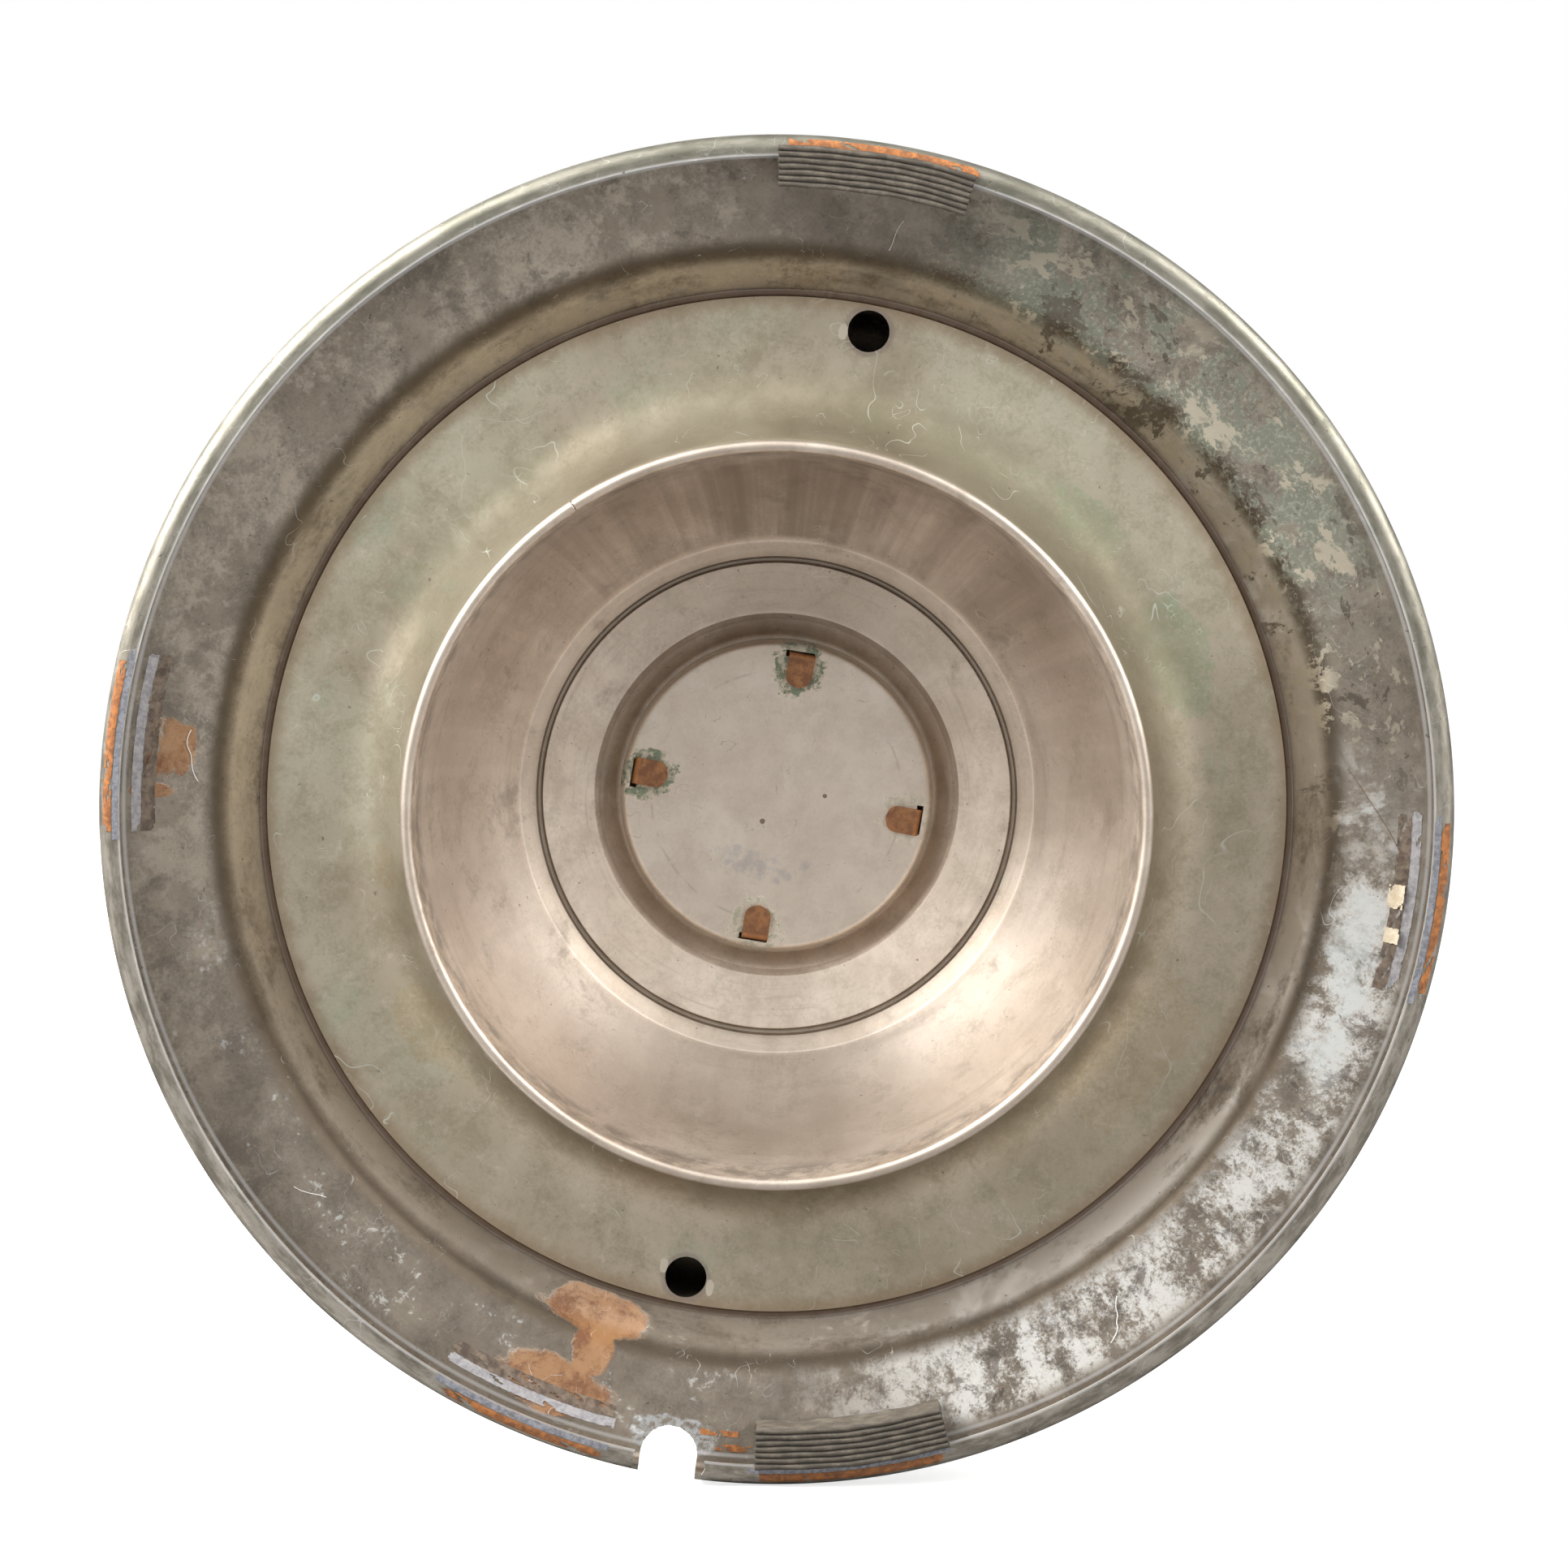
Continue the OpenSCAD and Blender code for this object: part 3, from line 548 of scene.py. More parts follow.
def casing_metal():
    p = Paint("casing_metal")
    ragged = p.noise(0.055, 10.0, 0.66, 0.5)
    fine = p.noise(0.6, 6.0, 0.7, shift=2.0)
    drawn = p.noise(1.0, 7.0, 0.66, along=p.round_and_out(9.0, 0.085), shift=4.0)
    p.colour = p.mix(p.step(drawn, 0.34, 0.68), (0.315, 0.262, 0.205), (0.44, 0.375, 0.30))
    peel = (fine - 0.5) * 0.34
    left = p.sector(15.0, 38.0, 30.0)
    bare = p.step(ragged + peel + left * 0.06, 0.50, 0.60)
    bare = bare * (0.25 + 0.75 * p.sector(50.0, 75.0, 30.0))
    p.over(bare * 0.76, (0.57, 0.49, 0.395))
    dark = p.step(p.noise(0.06, 10.0, 0.70, 0.4, shift=7.0) + peel, 0.52, 0.62)
    p.over(dark * 0.62, TARNISH)
    grain = worn(p, TARNISH, 0.50, 6.0)
    bright = p.spots(0.60, 0.68, 0.75, 7.0, 0.74, 0.3, shift=52.0)
    p.over(bright * 0.40, (0.66, 0.58, 0.49))
    # the bright worn riser, with a painted highlight at the lower right, and the dark line where the brim
    # bends into it
    riser = p.band(115.5, 122.5, 1.2)
    round_lines = p.noise(1.0, 7.0, 0.66, 0.3, along=p.round_and_out(5.0, 0.5), shift=41.0)
    rubbed = riser * p.step(round_lines + peel * 0.8, 0.34, 0.54)
    # painted highlight at the lower right, where the riser is also less rough
    polish_and_painted_highlight = p.sector(214.0, 30.0, 26.0)
    rubbed = rubbed * (0.48 + 0.52 * polish_and_painted_highlight)
    p.over(rubbed * 0.9, p.mix(polish_and_painted_highlight, (0.84, 0.765, 0.67), (0.96, 0.91, 0.85)))
    bend = p.band(123.2, 127.0, 1.8)
    p.over(bend * p.down * 0.90, (0.095, 0.074, 0.052))
    # white oxide, drawn out in streaks, and dark pits in it
    oxide_zone = p.sector(214.0, 38.0, 14.0) * p.band(126.5, 144.0, 2.5) * p.down
    streak = p.noise(1.0, 8.0, 0.70, along=p.round_and_out(17.0, 0.06), shift=9.0)
    chalky = p.noise(0.35, 9.0, 0.78, 0.3, shift=13.0)
    spread = streak + (ragged - 0.5) * 0.5 + (grain - 0.5) * 0.6 + (chalky - 0.5) * 0.9
    oxide = oxide_zone * p.step(spread, 0.38, 0.62)
    p.over(oxide * 0.88, OXIDE)
    pits = oxide_zone * p.step(p.noise(0.13, 10.0, 0.74, 0.5, shift=12.0) + (grain - 0.5) * 0.3, 0.52, 0.60)
    p.over(pits * 0.85, TARNISH)
    chalk = p.sector(300.0, 40.0, 20.0) * p.band(127.0, 144.0, 3.0)
    chalk = chalk * p.step(fine + (drawn - 0.5), 0.60, 0.72)
    chalk = chalk | p.sector(182.0, 16.0, 6.0) * p.band(126.0, 138.0, 3.0) * p.step(ragged, 0.50, 0.58)
    chalk = chalk * (0.3 + 0.7 * p.down)
    p.over(chalk * 0.50, (0.58, 0.61, 0.60))
    # grey-green speckled patina with tan metal showing through
    patina_zone = p.sector(125.0, 26.0, 10.0) * p.band(123.0, 145.0, 3.0)
    patina = patina_zone * p.spots(0.46, 0.53, 0.09, 10.0, 0.74, 0.3, shift=15.0)
    p.over(patina * 0.80, (0.225, 0.240, 0.185))
    peppered = patina_zone * p.spots(0.50, 0.60, 1.1, 4.0, 0.7, shift=16.0)
    p.over(peppered * 0.40, (0.52, 0.51, 0.41))
    # plating peeled in flakes with crisp, grainy edges: tan metal left between dark brown
    peel_zone = p.sector(134.0, 36.0, 12.0) * p.band(116.5, 143.5, 1.5)
    flakes = p.noise(1.0, 11.0, 0.72, 0.4, along=p.round_and_out(9.0, 0.12), shift=75.0)
    flakes = flakes + (fine - 0.5) * 0.16
    p.over(peel_zone * p.step(flakes, 0.445, 0.425) * 0.80, (0.135, 0.112, 0.086))
    p.over(peel_zone * p.step(flakes, 0.545, 0.565) * 0.85, (0.54, 0.475, 0.37))
    # painted shadow of the rear pad on the brim
    painted_pad_shadow = p.sector(REAR_PAD, 11.0, 8.0) * p.band(125.0, 140.0, 6.0)
    p.over(painted_pad_shadow * 0.45, TARNISH)
    # the lip and rim: thin plating with a green cast, brighter where hands rub it, darker with painted
    # shade on the upper side, and a painted highlight along the lip's inner edge
    lip = p.step(p.r, 145.0, 145.5) * p.step(p.z, 9.0, 7.0)
    rim_noise = p.noise(1.0, 7.0, 0.7, along=p.round_and_out(14.0, 0.35), shift=18.0)
    rim = p.mix(p.step(rim_noise, 0.36, 0.62), (0.200, 0.178, 0.142), (0.42, 0.38, 0.325))
    # green cast and painted shade on the upper side
    rim = p.mix(p.sector(85.0, 75.0, 30.0) * 0.50, rim, (0.215, 0.220, 0.170))
    rim = p.mix(p.spots(0.58, 0.66, 0.3, 7.0, 0.7, shift=20.0) * 0.55, rim, (0.19, 0.165, 0.135))
    p.over(lip, rim)
    # painted highlight along the lip's inner edge
    p.over(p.band(144.9, 145.7, 0.3) * 0.6, (0.80, 0.78, 0.76))
    # old glue: a spill with two lobes and a neck by one lost pad, and what is left beside another
    glue = p.patch(120.6, 280.0, 4.4, 12.5, 0.55, 1.0, 0.14)
    glue = glue | p.patch(128.0, 279.4, 6.5, 4.6, 0.45, 2.0, 0.2)
    glue = glue | p.patch(138.5, 281.8, 6.6, 13.0, 0.50, 3.0, 0.14)
    glue = glue | p.patch(136.0, 356.6, 6.2, 6.2, 0.75, 4.0, 0.2)
    glue = glue | p.patch(139.0, 352.5, 4.6, 1.8, 0.7, 5.0, 0.3)
    thick = p.step(p.noise(0.12, 10.0, 0.74, 0.4, shift=23.0) + peel, 0.42, 0.62)
    bare_in = p.spots(0.60, 0.66, 0.10, 7.0, 0.68, 0.3, shift=25.0)
    glue = glue * (1.0 - 0.85 * bare_in) * p.down
    p.over(glue * (0.74 + 0.18 * thick), p.mix(thick, GLUE, GLUE_DEEP))
    # silvery torn metal round the notch
    torn = p.patch(142.5, 270.0, 4.6, 9.8, 0.45, 7.0, 0.35) * p.step(fine, 0.40, 0.56)
    p.over(torn * 0.75, (0.70, 0.71, 0.71))
    specks = p.spots(0.69, 0.75, 0.8, 2.0, shift=27.0)
    p.over(specks * 0.6, TARNISH_DEEP)
    marks = p.scratches(0.10, 0.004, 30.0) | p.scratches(0.24, 0.004, 33.0)
    p.over(marks * 0.5, (0.66, 0.66, 0.63))
    gap = p.band(113.6, 116.0, 0.5) * p.down
    p.over(gap * 0.8, (0.13, 0.075, 0.045))
    crown = p.step(p.r, 114.0, 100.0) * (1.0 - p.down)
    dust = p.step(p.noise(0.07, 9.0, 0.68, 0.4, shift=70.0) + peel * 0.6, 0.44, 0.62)
    p.over(crown * dust * 0.45, (0.40, 0.34, 0.27))
    matte = p.math("MINIMUM", oxide + chalk * 0.7 + glue + patina * 0.6, 1.0)
    rough = 0.40 + 0.20 * matte + 0.12 * dark + 0.10 * grain - 0.06 * rubbed + 0.08 * lip
    height = (spun_lines(p) + oxide * 0.05 * fine + glue * (0.06 + 0.10 * thick) - pits * 0.03
              - specks * 0.03 + patina * 0.02
              + (grain - 0.5) * 0.03 * (1.0 - rubbed * 0.7) * (1.0 - lip * 0.85) - marks * 0.01)
    return p.finish(1.0 - matte * 0.75, rough, height)


def pad_rubber():
    p = Paint("pad_rubber")
    dust = p.spots(0.42, 0.66, 0.25, 7.0, 0.7)
    p.colour = p.mix(dust, (0.062, 0.050, 0.036), (0.125, 0.104, 0.078))
    pale = p.spots(0.60, 0.70, 1.4, 4.0, 0.7, shift=3.0)
    p.over(pale * 0.35, (0.20, 0.175, 0.14))
    # painted shade in the valleys between the ribs
    rib_valley_shade = p.step(p.z, 0.10, 0.42) * p.step(p.z, 1.4, 0.9)
    p.over(rib_valley_shade * 0.6, (0.030, 0.025, 0.019))
    crumbs = p.noise(1.6, 5.0, 0.7, shift=6.0)
    return p.finish(0.0, 0.74 + 0.12 * dust, (crumbs - 0.5) * 0.07 + dust * 0.03)


def copper():
    p = Paint("copper")
    flat = p.step(p.r, 32.6, 31.6) * p.step(p.z, 54.4, 53.9)
    patch = p.noise(0.5, 6.0, 0.68, 0.4)
    p.colour = p.mix(p.step(patch, 0.38, 0.62), (0.56, 0.27, 0.12), (0.40, 0.19, 0.095))
    p.over(flat * (0.30 + 0.35 * p.step(patch, 0.4, 0.6)), (0.22, 0.115, 0.075))
    green = p.spots(0.60, 0.68, 0.6, 6.0, 0.7, shift=5.0) * 0.6
    p.over(green, (0.32, 0.34, 0.22))
    return p.finish(1.0 - green * 0.8, 0.42 + 0.2 * patch, (patch - 0.5) * 0.05)


def cast(name, dark, light, grain=0.7, depth=0.10):
    """Cast and enamelled iron: an uneven skin, rust spots and chips down to grey metal."""
    p = Paint(name)
    skin = p.noise(grain, 5.0, 0.65)
    p.colour = p.mix(p.spots(0.35, 0.68, 0.06, 6.0, 0.62), dark, light)
    chips = p.spots(0.66, 0.69, 0.22, 8.0, 0.7, shift=5.0)
    p.over(chips * 0.8, (0.36, 0.34, 0.32))
    rust = p.spots(0.64, 0.74, 0.12, 7.0, 0.7, shift=9.0)
    p.over(rust * 0.5, (0.17, 0.08, 0.04))
    return p.finish(0.6, 0.55 + 0.2 * rust - 0.1 * chips, (skin - 0.5) * depth - chips * 0.06)


def turned(name, colour_a, colour_b, rough=0.30, stain=(0.20, 0.16, 0.12), amount=0.45):
    """Turned metal: rings from the tool, stains and a few scratches."""
    p = Paint(name)
    cloud = p.noise(0.09, 6.0, 0.62, 0.3)
    p.colour = p.mix(p.step(cloud, 0.32, 0.68), colour_a, colour_b)
    stains = p.spots(0.56, 0.70, 0.14, 8.0, 0.7, shift=6.0) * amount
    p.over(stains, stain)
    marks = p.scratches(0.10, 0.004, 2.0) | p.scratches(0.3, 0.004, 9.0)
    p.over(marks * 0.4, colour_b)
    tool = p.noise(1.0, 2.0, 0.5, along=p.round_and_out(1.5, 2.6)) - 0.5
    return p.finish(1.0, rough + 0.12 * cloud + 0.2 * stains,
                    tool * 0.010 - marks * 0.012 + (cloud - 0.5) * 0.01)


def wheel_metal():
    """Turned aluminium with dried clay in its rings and scuffs on its top."""
    p = Paint("head_aluminium")
    cloud = p.noise(0.03, 6.0, 0.62, 0.4)
    p.colour = p.mix(p.step(cloud, 0.35, 0.65), (0.56, 0.56, 0.55), (0.68, 0.68, 0.67))
    clay_noise = p.noise(0.07, 9.0, 0.68, 0.4, shift=4.0)
    top = p.step(p.z, 118.0, 118.15)
    smear = p.step(clay_noise, 0.58, 0.68) * top
    ring = p.math("ABSOLUTE", p.math("WRAP", p.r, 10.0, -10.0))
    groove = p.step(ring, 0.9, 0.45) * p.step(p.r, 10.0, 12.0) * p.step(p.z, 117.9, 118.1)
    clay = p.math("MINIMUM", smear * 0.75 + groove * (0.45 + 0.5 * p.step(clay_noise, 0.42, 0.6)), 1.0)
    p.over(clay, p.mix(cloud, (0.42, 0.33, 0.25), (0.52, 0.44, 0.35)))
    under = p.step(p.z, 112.9, 112.4)
    p.over(under * 0.35, (0.34, 0.33, 0.31))
    marks = p.scratches(0.05, 0.003, 2.0) | p.scratches(0.12, 0.003, 9.0)
    p.over(marks * 0.6, (0.80, 0.80, 0.79))
    tool = p.noise(1.0, 2.0, 0.5, along=p.round_and_out(1.2, 2.2)) - 0.5
    return p.finish(1.0 - clay * 0.95, 0.32 + 0.12 * cloud + clay * 0.4,
                    tool * 0.014 + clay * 0.10 - marks * 0.02)


def coat(name, dark, light, rough, scale, bump=0.06, metal=0.0):
    """A thin deposit: glue, paint flake, rubber left behind, or bare bluish metal."""
    p = Paint(name)
    tone = p.noise(scale, 7.0, 0.68, 0.5)
    fine = p.noise(scale * 5, 4.0, 0.7, shift=3.0)
    p.colour = p.mix(p.step(tone, 0.36, 0.64), dark, light)
    return p.finish(metal, rough + 0.1 * fine, (tone - 0.5) * bump + (fine - 0.5) * bump * 0.4)


MATERIALS = {
    "casing_metal": casing_metal(), "plate_metal": plate_metal(), "hub_metal": hub_metal(),
    "cap_metal": cap_metal(), "copper": copper(), "pad_rubber": pad_rubber(),
    "cast_iron": cast("cast_iron", (0.030, 0.031, 0.032), (0.055, 0.056, 0.056)),
    "ballast_iron": cast("ballast_iron", (0.10, 0.085, 0.075), (0.16, 0.14, 0.12), 0.4, 0.25),
    "steel": turned("steel", (0.48, 0.47, 0.45), (0.60, 0.59, 0.57)),
    "bearing_steel": turned("bearing_steel", (0.62, 0.62, 0.63), (0.74, 0.74, 0.75), 0.14, amount=0.15),
    "bronze": turned("bronze", (0.50, 0.34, 0.15), (0.62, 0.44, 0.21), 0.32, (0.22, 0.13, 0.06)),
    "head_aluminium": wheel_metal(),
}
GLUE_FILM = coat("glue_film", GLUE_DEEP, (0.42, 0.155, 0.040), 0.45, 0.6)
BARE_STRIP = coat("bare_strip", (0.21, 0.21, 0.23), (0.39, 0.39, 0.42), 0.42, 0.8, 0.03, 0.7)
RUBBER_LEFT = coat("rubber_left", (0.085, 0.060, 0.045), (0.22, 0.165, 0.12), 0.75, 0.5)
GREY_LEFT = coat("grey_left", (0.26, 0.25, 0.26), (0.42, 0.40, 0.40), 0.6, 0.7)
CREAM = coat("cream_flake", (0.58, 0.47, 0.32), (0.74, 0.64, 0.48), 0.6, 0.6)
FIBRE = coat("fibre", (0.66, 0.65, 0.61), (0.80, 0.79, 0.76), 0.7, 0.8)
HAIR = coat("hair", (0.16, 0.09, 0.04), (0.24, 0.14, 0.07), 0.5, 0.8)

# ---- the base's shells
casing_path = rounded([(LIP_R, LIP_Z), (BASE_R, LIP_Z, RIM_ROUND), (BASE_R, BRIM_Z, RIM_ROUND),
                       (RISER_R, RISER_Z, 7), (RISER_TOP_R, LEDGE_Z, 1.2), (WALL_R, LEDGE_Z, 0.6),
                       (SHOULDER_R, SHOULDER_Z, 8), (TOP_FLAT_R, SHELL_TOP, 20), (CLEAR_R, SHELL_TOP)])
past_rim, half, arc_steps = -BASE_R - 2, NOTCH_W / 2, 30
notch = [(-half, past_rim)]
for i in range(arc_steps + 1):
    a = math.pi * (1 - i / arc_steps)
    r = half + rng.uniform(-0.12, 0.12)
    notch.append((r * math.cos(a), -NOTCH_REACH - half + r * math.sin(a)))
notch.append((half, past_rim))
half = LIP_NOTCH_W / 2
lip_notch = [(-half, past_rim), (-half + 0.5, -148.3), (-half - 0.1, -146.6), (-half + 0.7, -144.2),
             (half - 0.9, -144.2), (half - 0.2, -146.0), (half - 0.6, -148.1), (half, past_rim)]
bolt_tools = bolt_holes(60, 64)
casing = cut(lathe("casing", strip(finer(casing_path), SHEET),
                   spun_dents(0.10, ((136, 215, 9, 0.25), (134, 320, 12, 0.2), (131, 60, 10, -0.2)))),
             [prism(notch, 1.6, 17), prism(lip_notch, 1.6, 5.0), *bolt_tools])
piece("casing", casing, "casing_metal", ["outer_casing"])

plate_path = rounded([(COLLAR_R, COLLAR_END_Z), (COLLAR_R, PLATE_Z, COVE_R), (PLATE_R, PLATE_Z)])
plate = cut(lathe("plate", strip(finer(plate_path), PLATE_SHEET),
                  spun_dents(0.12, ((104, 40, 8, 0.12), (100, 200, 10, 0.15), (106, 300, 9, 0.1)))),
            [prism(circle_at(HOLE_REACH, HOLE_TURN + 180 * i, HOLE_R, 0.06), 23, 29) for i in (0, 1)])
piece("plate", plate, "plate_metal", ["base_plate"])

bead = np.array([BEAD_R, BEAD_SECTION])
knee = np.array([FUNNEL_R, FUNNEL_Z])
reach = bead - knee
lean = math.atan2(reach[1], reach[0]) - math.asin(BEAD_SECTION / np.linalg.norm(reach))
foot = knee + math.sqrt(reach @ reach - BEAD_SECTION ** 2) * np.array([math.cos(lean), math.sin(lean)])
foot_turn = math.atan2(*(foot - bead)[::-1])
curl = [bead + BEAD_SECTION * np.array([math.cos(foot_turn + q), math.sin(foot_turn + q)])
        for q in np.radians(np.arange(BEAD_CURL, -1, -10))]
hub_path = rounded([tuple(foot), (FUNNEL_R, FUNNEL_Z, FUNNEL_ROUND), (CREASE_R, CREASE_Z, 0.4),
                    (GROOVE_OUT_R, GROOVE_FOOT_Z, 0.25), (GROOVE_OUT_R - GROOVE_LEAN, GROOVE_TOP_Z, 0.3),
                    (GROOVE_IN_R + GROOVE_LEAN, GROOVE_TOP_Z, 0.3), (GROOVE_IN_R, GROOVE_LIP_Z, 0.2),
                    (RECESS_R, RECESS_Z, 0.35), (STEP_R, STEP_Z, 0.6), (FLOOR_R, FLOOR_Z, 2),
                    (CLEAR_R, FLOOR_Z)])
hub = cut(lathe("hub", strip(finer(curl[:-1] + hub_path), -HUB_SHEET), spun_dents(0.08)),
          bolt_holes(60, 63))
piece("hub", hub, "hub_metal", ["hub_shell"])

cap_path = rounded([(0, CAP_Z), (CAP_R, CAP_Z, 1.9), (CAP_R, FLOOR_Z)])
inner, outer, half = TAB_R - TAB_T - SLOT_PLAY, TAB_R + SLOT_PLAY, TAB_W / 2 + SLOT_PLAY
slot = ((inner, -half), (outer, -half), (outer, half), (inner, half))
cap_tools = []
for i in range(4):
    spin = Matrix.Rotation(math.radians(90 * i), 2)
    cap_tools.append(prism([tuple(spin @ Vector(q)) for q in slot], 52, 56))
cap = cut(lathe("cap", strip(finer(cap_path), CAP_SHEET), spun_dents(0.05, ((12, 200, 6, 0.05),))),
          cap_tools)
piece("cap", cap, "cap_metal", ["centre_cap"])


def clip():
    """The clip plate: a flat ring with bolt holes, and four tabs that come down and fold inwards."""
    ring = strip([np.array([CLEAR_R, CLIP_Z]), np.array([TAB_R + CLIP_RIM, CLIP_Z])], TAB_T)
    plain = cut(lathe("clip", ring), bolt_holes(58, 63))
    made = bmesh.new()
    made.from_mesh(plain)
    tip, tab_z, root_z = TAB_R - TAB_LENGTH, CAP_Z - TAB_T, CLIP_Z + 0.4
    side = finer(rounded([(TAB_R, root_z), (TAB_R, tab_z, 1.2), (tip, tab_z)], 10), 0.6)
    inner = [np.array(p) for p in strip(side, -TAB_T)[len(side):][::-1]]
    across = np.linspace(-1, 1, 13)
    for i in range(4):
        spin = Matrix.Rotation(math.radians(90 * i + rng.uniform(-1.2, 1.2)), 3, "Z")
        rows = []
        for path in (side, inner):
            grid = []
            for p in path:
                near = max(0.0, 1 - (p[0] - tip) / (TAB_W / 2))
                w = TAB_W / 2 * math.sqrt(max(0.02, 1 - near ** 2.6))
                bow = 0.12 * math.sin(p[0] * 1.1 + i) if p[1] < 54 else 0.0
                row = [Vector((p[0], w * s, p[1] + abs(bow) * (1 - s * s))) for s in across]
                grid.append([made.verts.new(spin @ v * MM) for v in row])
            rows.append(grid)
        low, top = rows
        n, m = len(side), len(across)
        for a in range(n - 1):
            for b in range(m - 1):
                made.faces.new((low[a][b], low[a][b + 1], low[a + 1][b + 1], low[a + 1][b]))
                made.faces.new((top[a][b], top[a + 1][b], top[a + 1][b + 1], top[a][b + 1]))
            for b in (0, m - 1):
                made.faces.new((low[a][b], low[a + 1][b], top[a + 1][b], top[a][b]))
        for a in (0, n - 1):
            for b in range(m - 1):
                made.faces.new((low[a][b], low[a][b + 1], top[a][b + 1], top[a][b]))
    bmesh.ops.recalc_face_normals(made, faces=made.faces)
    mesh = bpy.data.meshes.new("clip")
    made.to_mesh(mesh)
    made.free()
    return mesh


piece("clip", clip(), "copper", ["clip_plate"])


# ---- rubber pads
def pad(name, node, middle, shift, seed):
    """A ribbed pad: ribs along the rim, worn and slightly wavy, with rough cut ends."""
    own = random.Random(seed)
    pitch = (PAD_OUT - PAD_IN) / PAD_RIBS
    outline = []
    for i in range(PAD_RIBS):
        for share, z in ((0.0, RIB_DEPTH), (0.12, 0.24), (0.24, 0.05),
                         (0.5, 0.0), (0.76, 0.05), (0.88, 0.24)):
            outline.append((PAD_IN + (i + share) * pitch, z))
    hook_r, lip = LIP_R - HOOK_GLUE, LIP_Z - LIP_GLUE
    outline += [(PAD_OUT, RIB_DEPTH), (PAD_OUT, lip), (hook_r, lip)]
    outline += [(r, brim_under(r) - BRIM_GLUE) for r in (hook_r, 142.8, 140.6, PAD_IN)]
    outline += [(PAD_IN, z) for z in (10, 6, 3, 1.5)]
    steps, n = 90, len(outline)
    phase, turn = own.uniform(0, 6), math.radians(middle)
    verts = []
    for k in range(steps + 1):
        t = k / steps
        a = math.radians(PAD_SPAN * (t - 0.5))
        for r, z in outline:
            end = min(t, 1 - t) * steps
            wave = 0.10 * math.sin(9 * t + phase) + 0.06 * math.sin(23 * t + r)
            q = r - 0.16 + wave if r > PAD_IN + 0.1 else r + abs(wave) * 2
            ragged = (own.uniform(0, 0.35) if end < 1 else 0) * (1 if t < 0.5 else -1)
            low = z + (0.06 + 0.06 * math.sin(31 * t + 2 * r) if z < 0.3 else 0)
            b = a + ragged / r
            x, y = q * math.cos(b) - shift, q * math.sin(b)
            verts.append((x * math.cos(turn) - y * math.sin(turn),
                          x * math.sin(turn) + y * math.cos(turn), max(low, 0.0)))
    faces = [(k * n + i, k * n + (i + 1) % n, (k + 1) * n + (i + 1) % n, (k + 1) * n + i)
             for k in range(steps) for i in range(n)]
    faces += [tuple(range(n))[::-1], tuple(steps * n + i for i in range(n))]
    piece(name, mesh_of(name, verts, faces), "pad_rubber", [node], sharp=50)


pad("pad_rear", "foot_pad_rear", REAR_PAD, 0.0, 3)
pad("pad_front", "foot_pad_front", FRONT_PAD, FRONT_SHIFT, 5)


# ---- what is left of the glue and lost pads
def film(name, low_r, high_r, from_turn, to_turn, keep, thick, material, seed, curl=0.0):
    """A thin ragged deposit on the casing's underside; keep is the share of it that is left."""
    own = random.Random(seed)
    rows = max(3, round((high_r - low_r) / 0.35))
    columns = max(4, round((to_turn - from_turn) * math.pi / 180 * low_r / 0.5))
    waves = [(own.uniform(0.3, 1.6), own.uniform(0.2, 1.1), own.uniform(0, 6)) for _ in range(7)]

    def left(i, j):
        edge = min(i, rows - 1 - i) / max(rows, 1) * 2 + min(j, columns - 1 - j) / 6
        value = sum(math.sin(i * a * 0.8 + j * b * 0.6 + c) for a, b, c in waves) / 4
        return value + min(edge, 1) * 0.7 + own.uniform(-0.12, 0.12) > 1.1 - 1.5 * keep

    grid = {}
    verts, faces = [], []

    def corner(i, j):
        if (i, j) not in grid:
            r = low_r + (high_r - low_r) * i / rows + own.uniform(-0.09, 0.09)
            a = math.radians(from_turn + (to_turn - from_turn) * j / columns + own.uniform(-0.05, 0.05))
            lift = thick * own.uniform(0.7, 1.1) + curl * (i / rows) ** 2
            low = max(under_casing(r) - lift, 0.0)
            grid[i, j] = len(verts)
            verts.append((r * math.cos(a), r * math.sin(a), low))
            verts.append((r * math.cos(a), r * math.sin(a), low + thick * 0.9))
        return grid[i, j]

    there = {(i, j) for i in range(rows) for j in range(columns) if left(i, j)}
    for i, j in sorted(there):
        a, b, c, d = corner(i, j), corner(i, j + 1), corner(i + 1, j + 1), corner(i + 1, j)
        faces.append((a, b, c, d))
        faces.append((a + 1, d + 1, c + 1, b + 1))
        for (p, q), beside in (((a, b), (i - 1, j)), ((b, c), (i, j + 1)),
                               ((c, d), (i + 1, j)), ((d, a), (i, j - 1))):
            if beside not in there:
                faces.append((q, p, p + 1, q + 1))
    piece(name, mesh_of(name, verts, faces), "casing_metal", material=material, sharp=60)


for k, turn in enumerate(LOST_PADS):
    film(f"lip_bare_{k}", 145.5, 146.9, turn - 8.3, turn + 8.3, 0.95, 0.05, BARE_STRIP, seed=10 + k)
    film(f"lip_glue_{k}", 147.1, 148.9, turn - 7.6, turn + 7.2, 0.66, 0.10, GLUE_FILM, seed=20 + k)
    film(f"brim_rubber_{k}", 138.4, 141.4, turn - 8.0, turn + 8.2, 0.70, 0.16, RUBBER_LEFT, seed=30 + k)
    film(f"brim_grey_{k}", 141.4, 143.6, turn - 8.2, turn + 8.0, 0.78, 0.10, GREY_LEFT, seed=40 + k)
film("glue_rear", 147.2, 149.0, 81.5, 98.0, 0.75, 0.08, GLUE_FILM, seed=51)
film("glue_front", 147.2, 149.0, 246.0, 262.0, 0.80, 0.10, GLUE_FILM, seed=52)
film("bare_front", 146.2, 147.1, 245.0, 263.0, 0.90, 0.05, BARE_STRIP, seed=53)
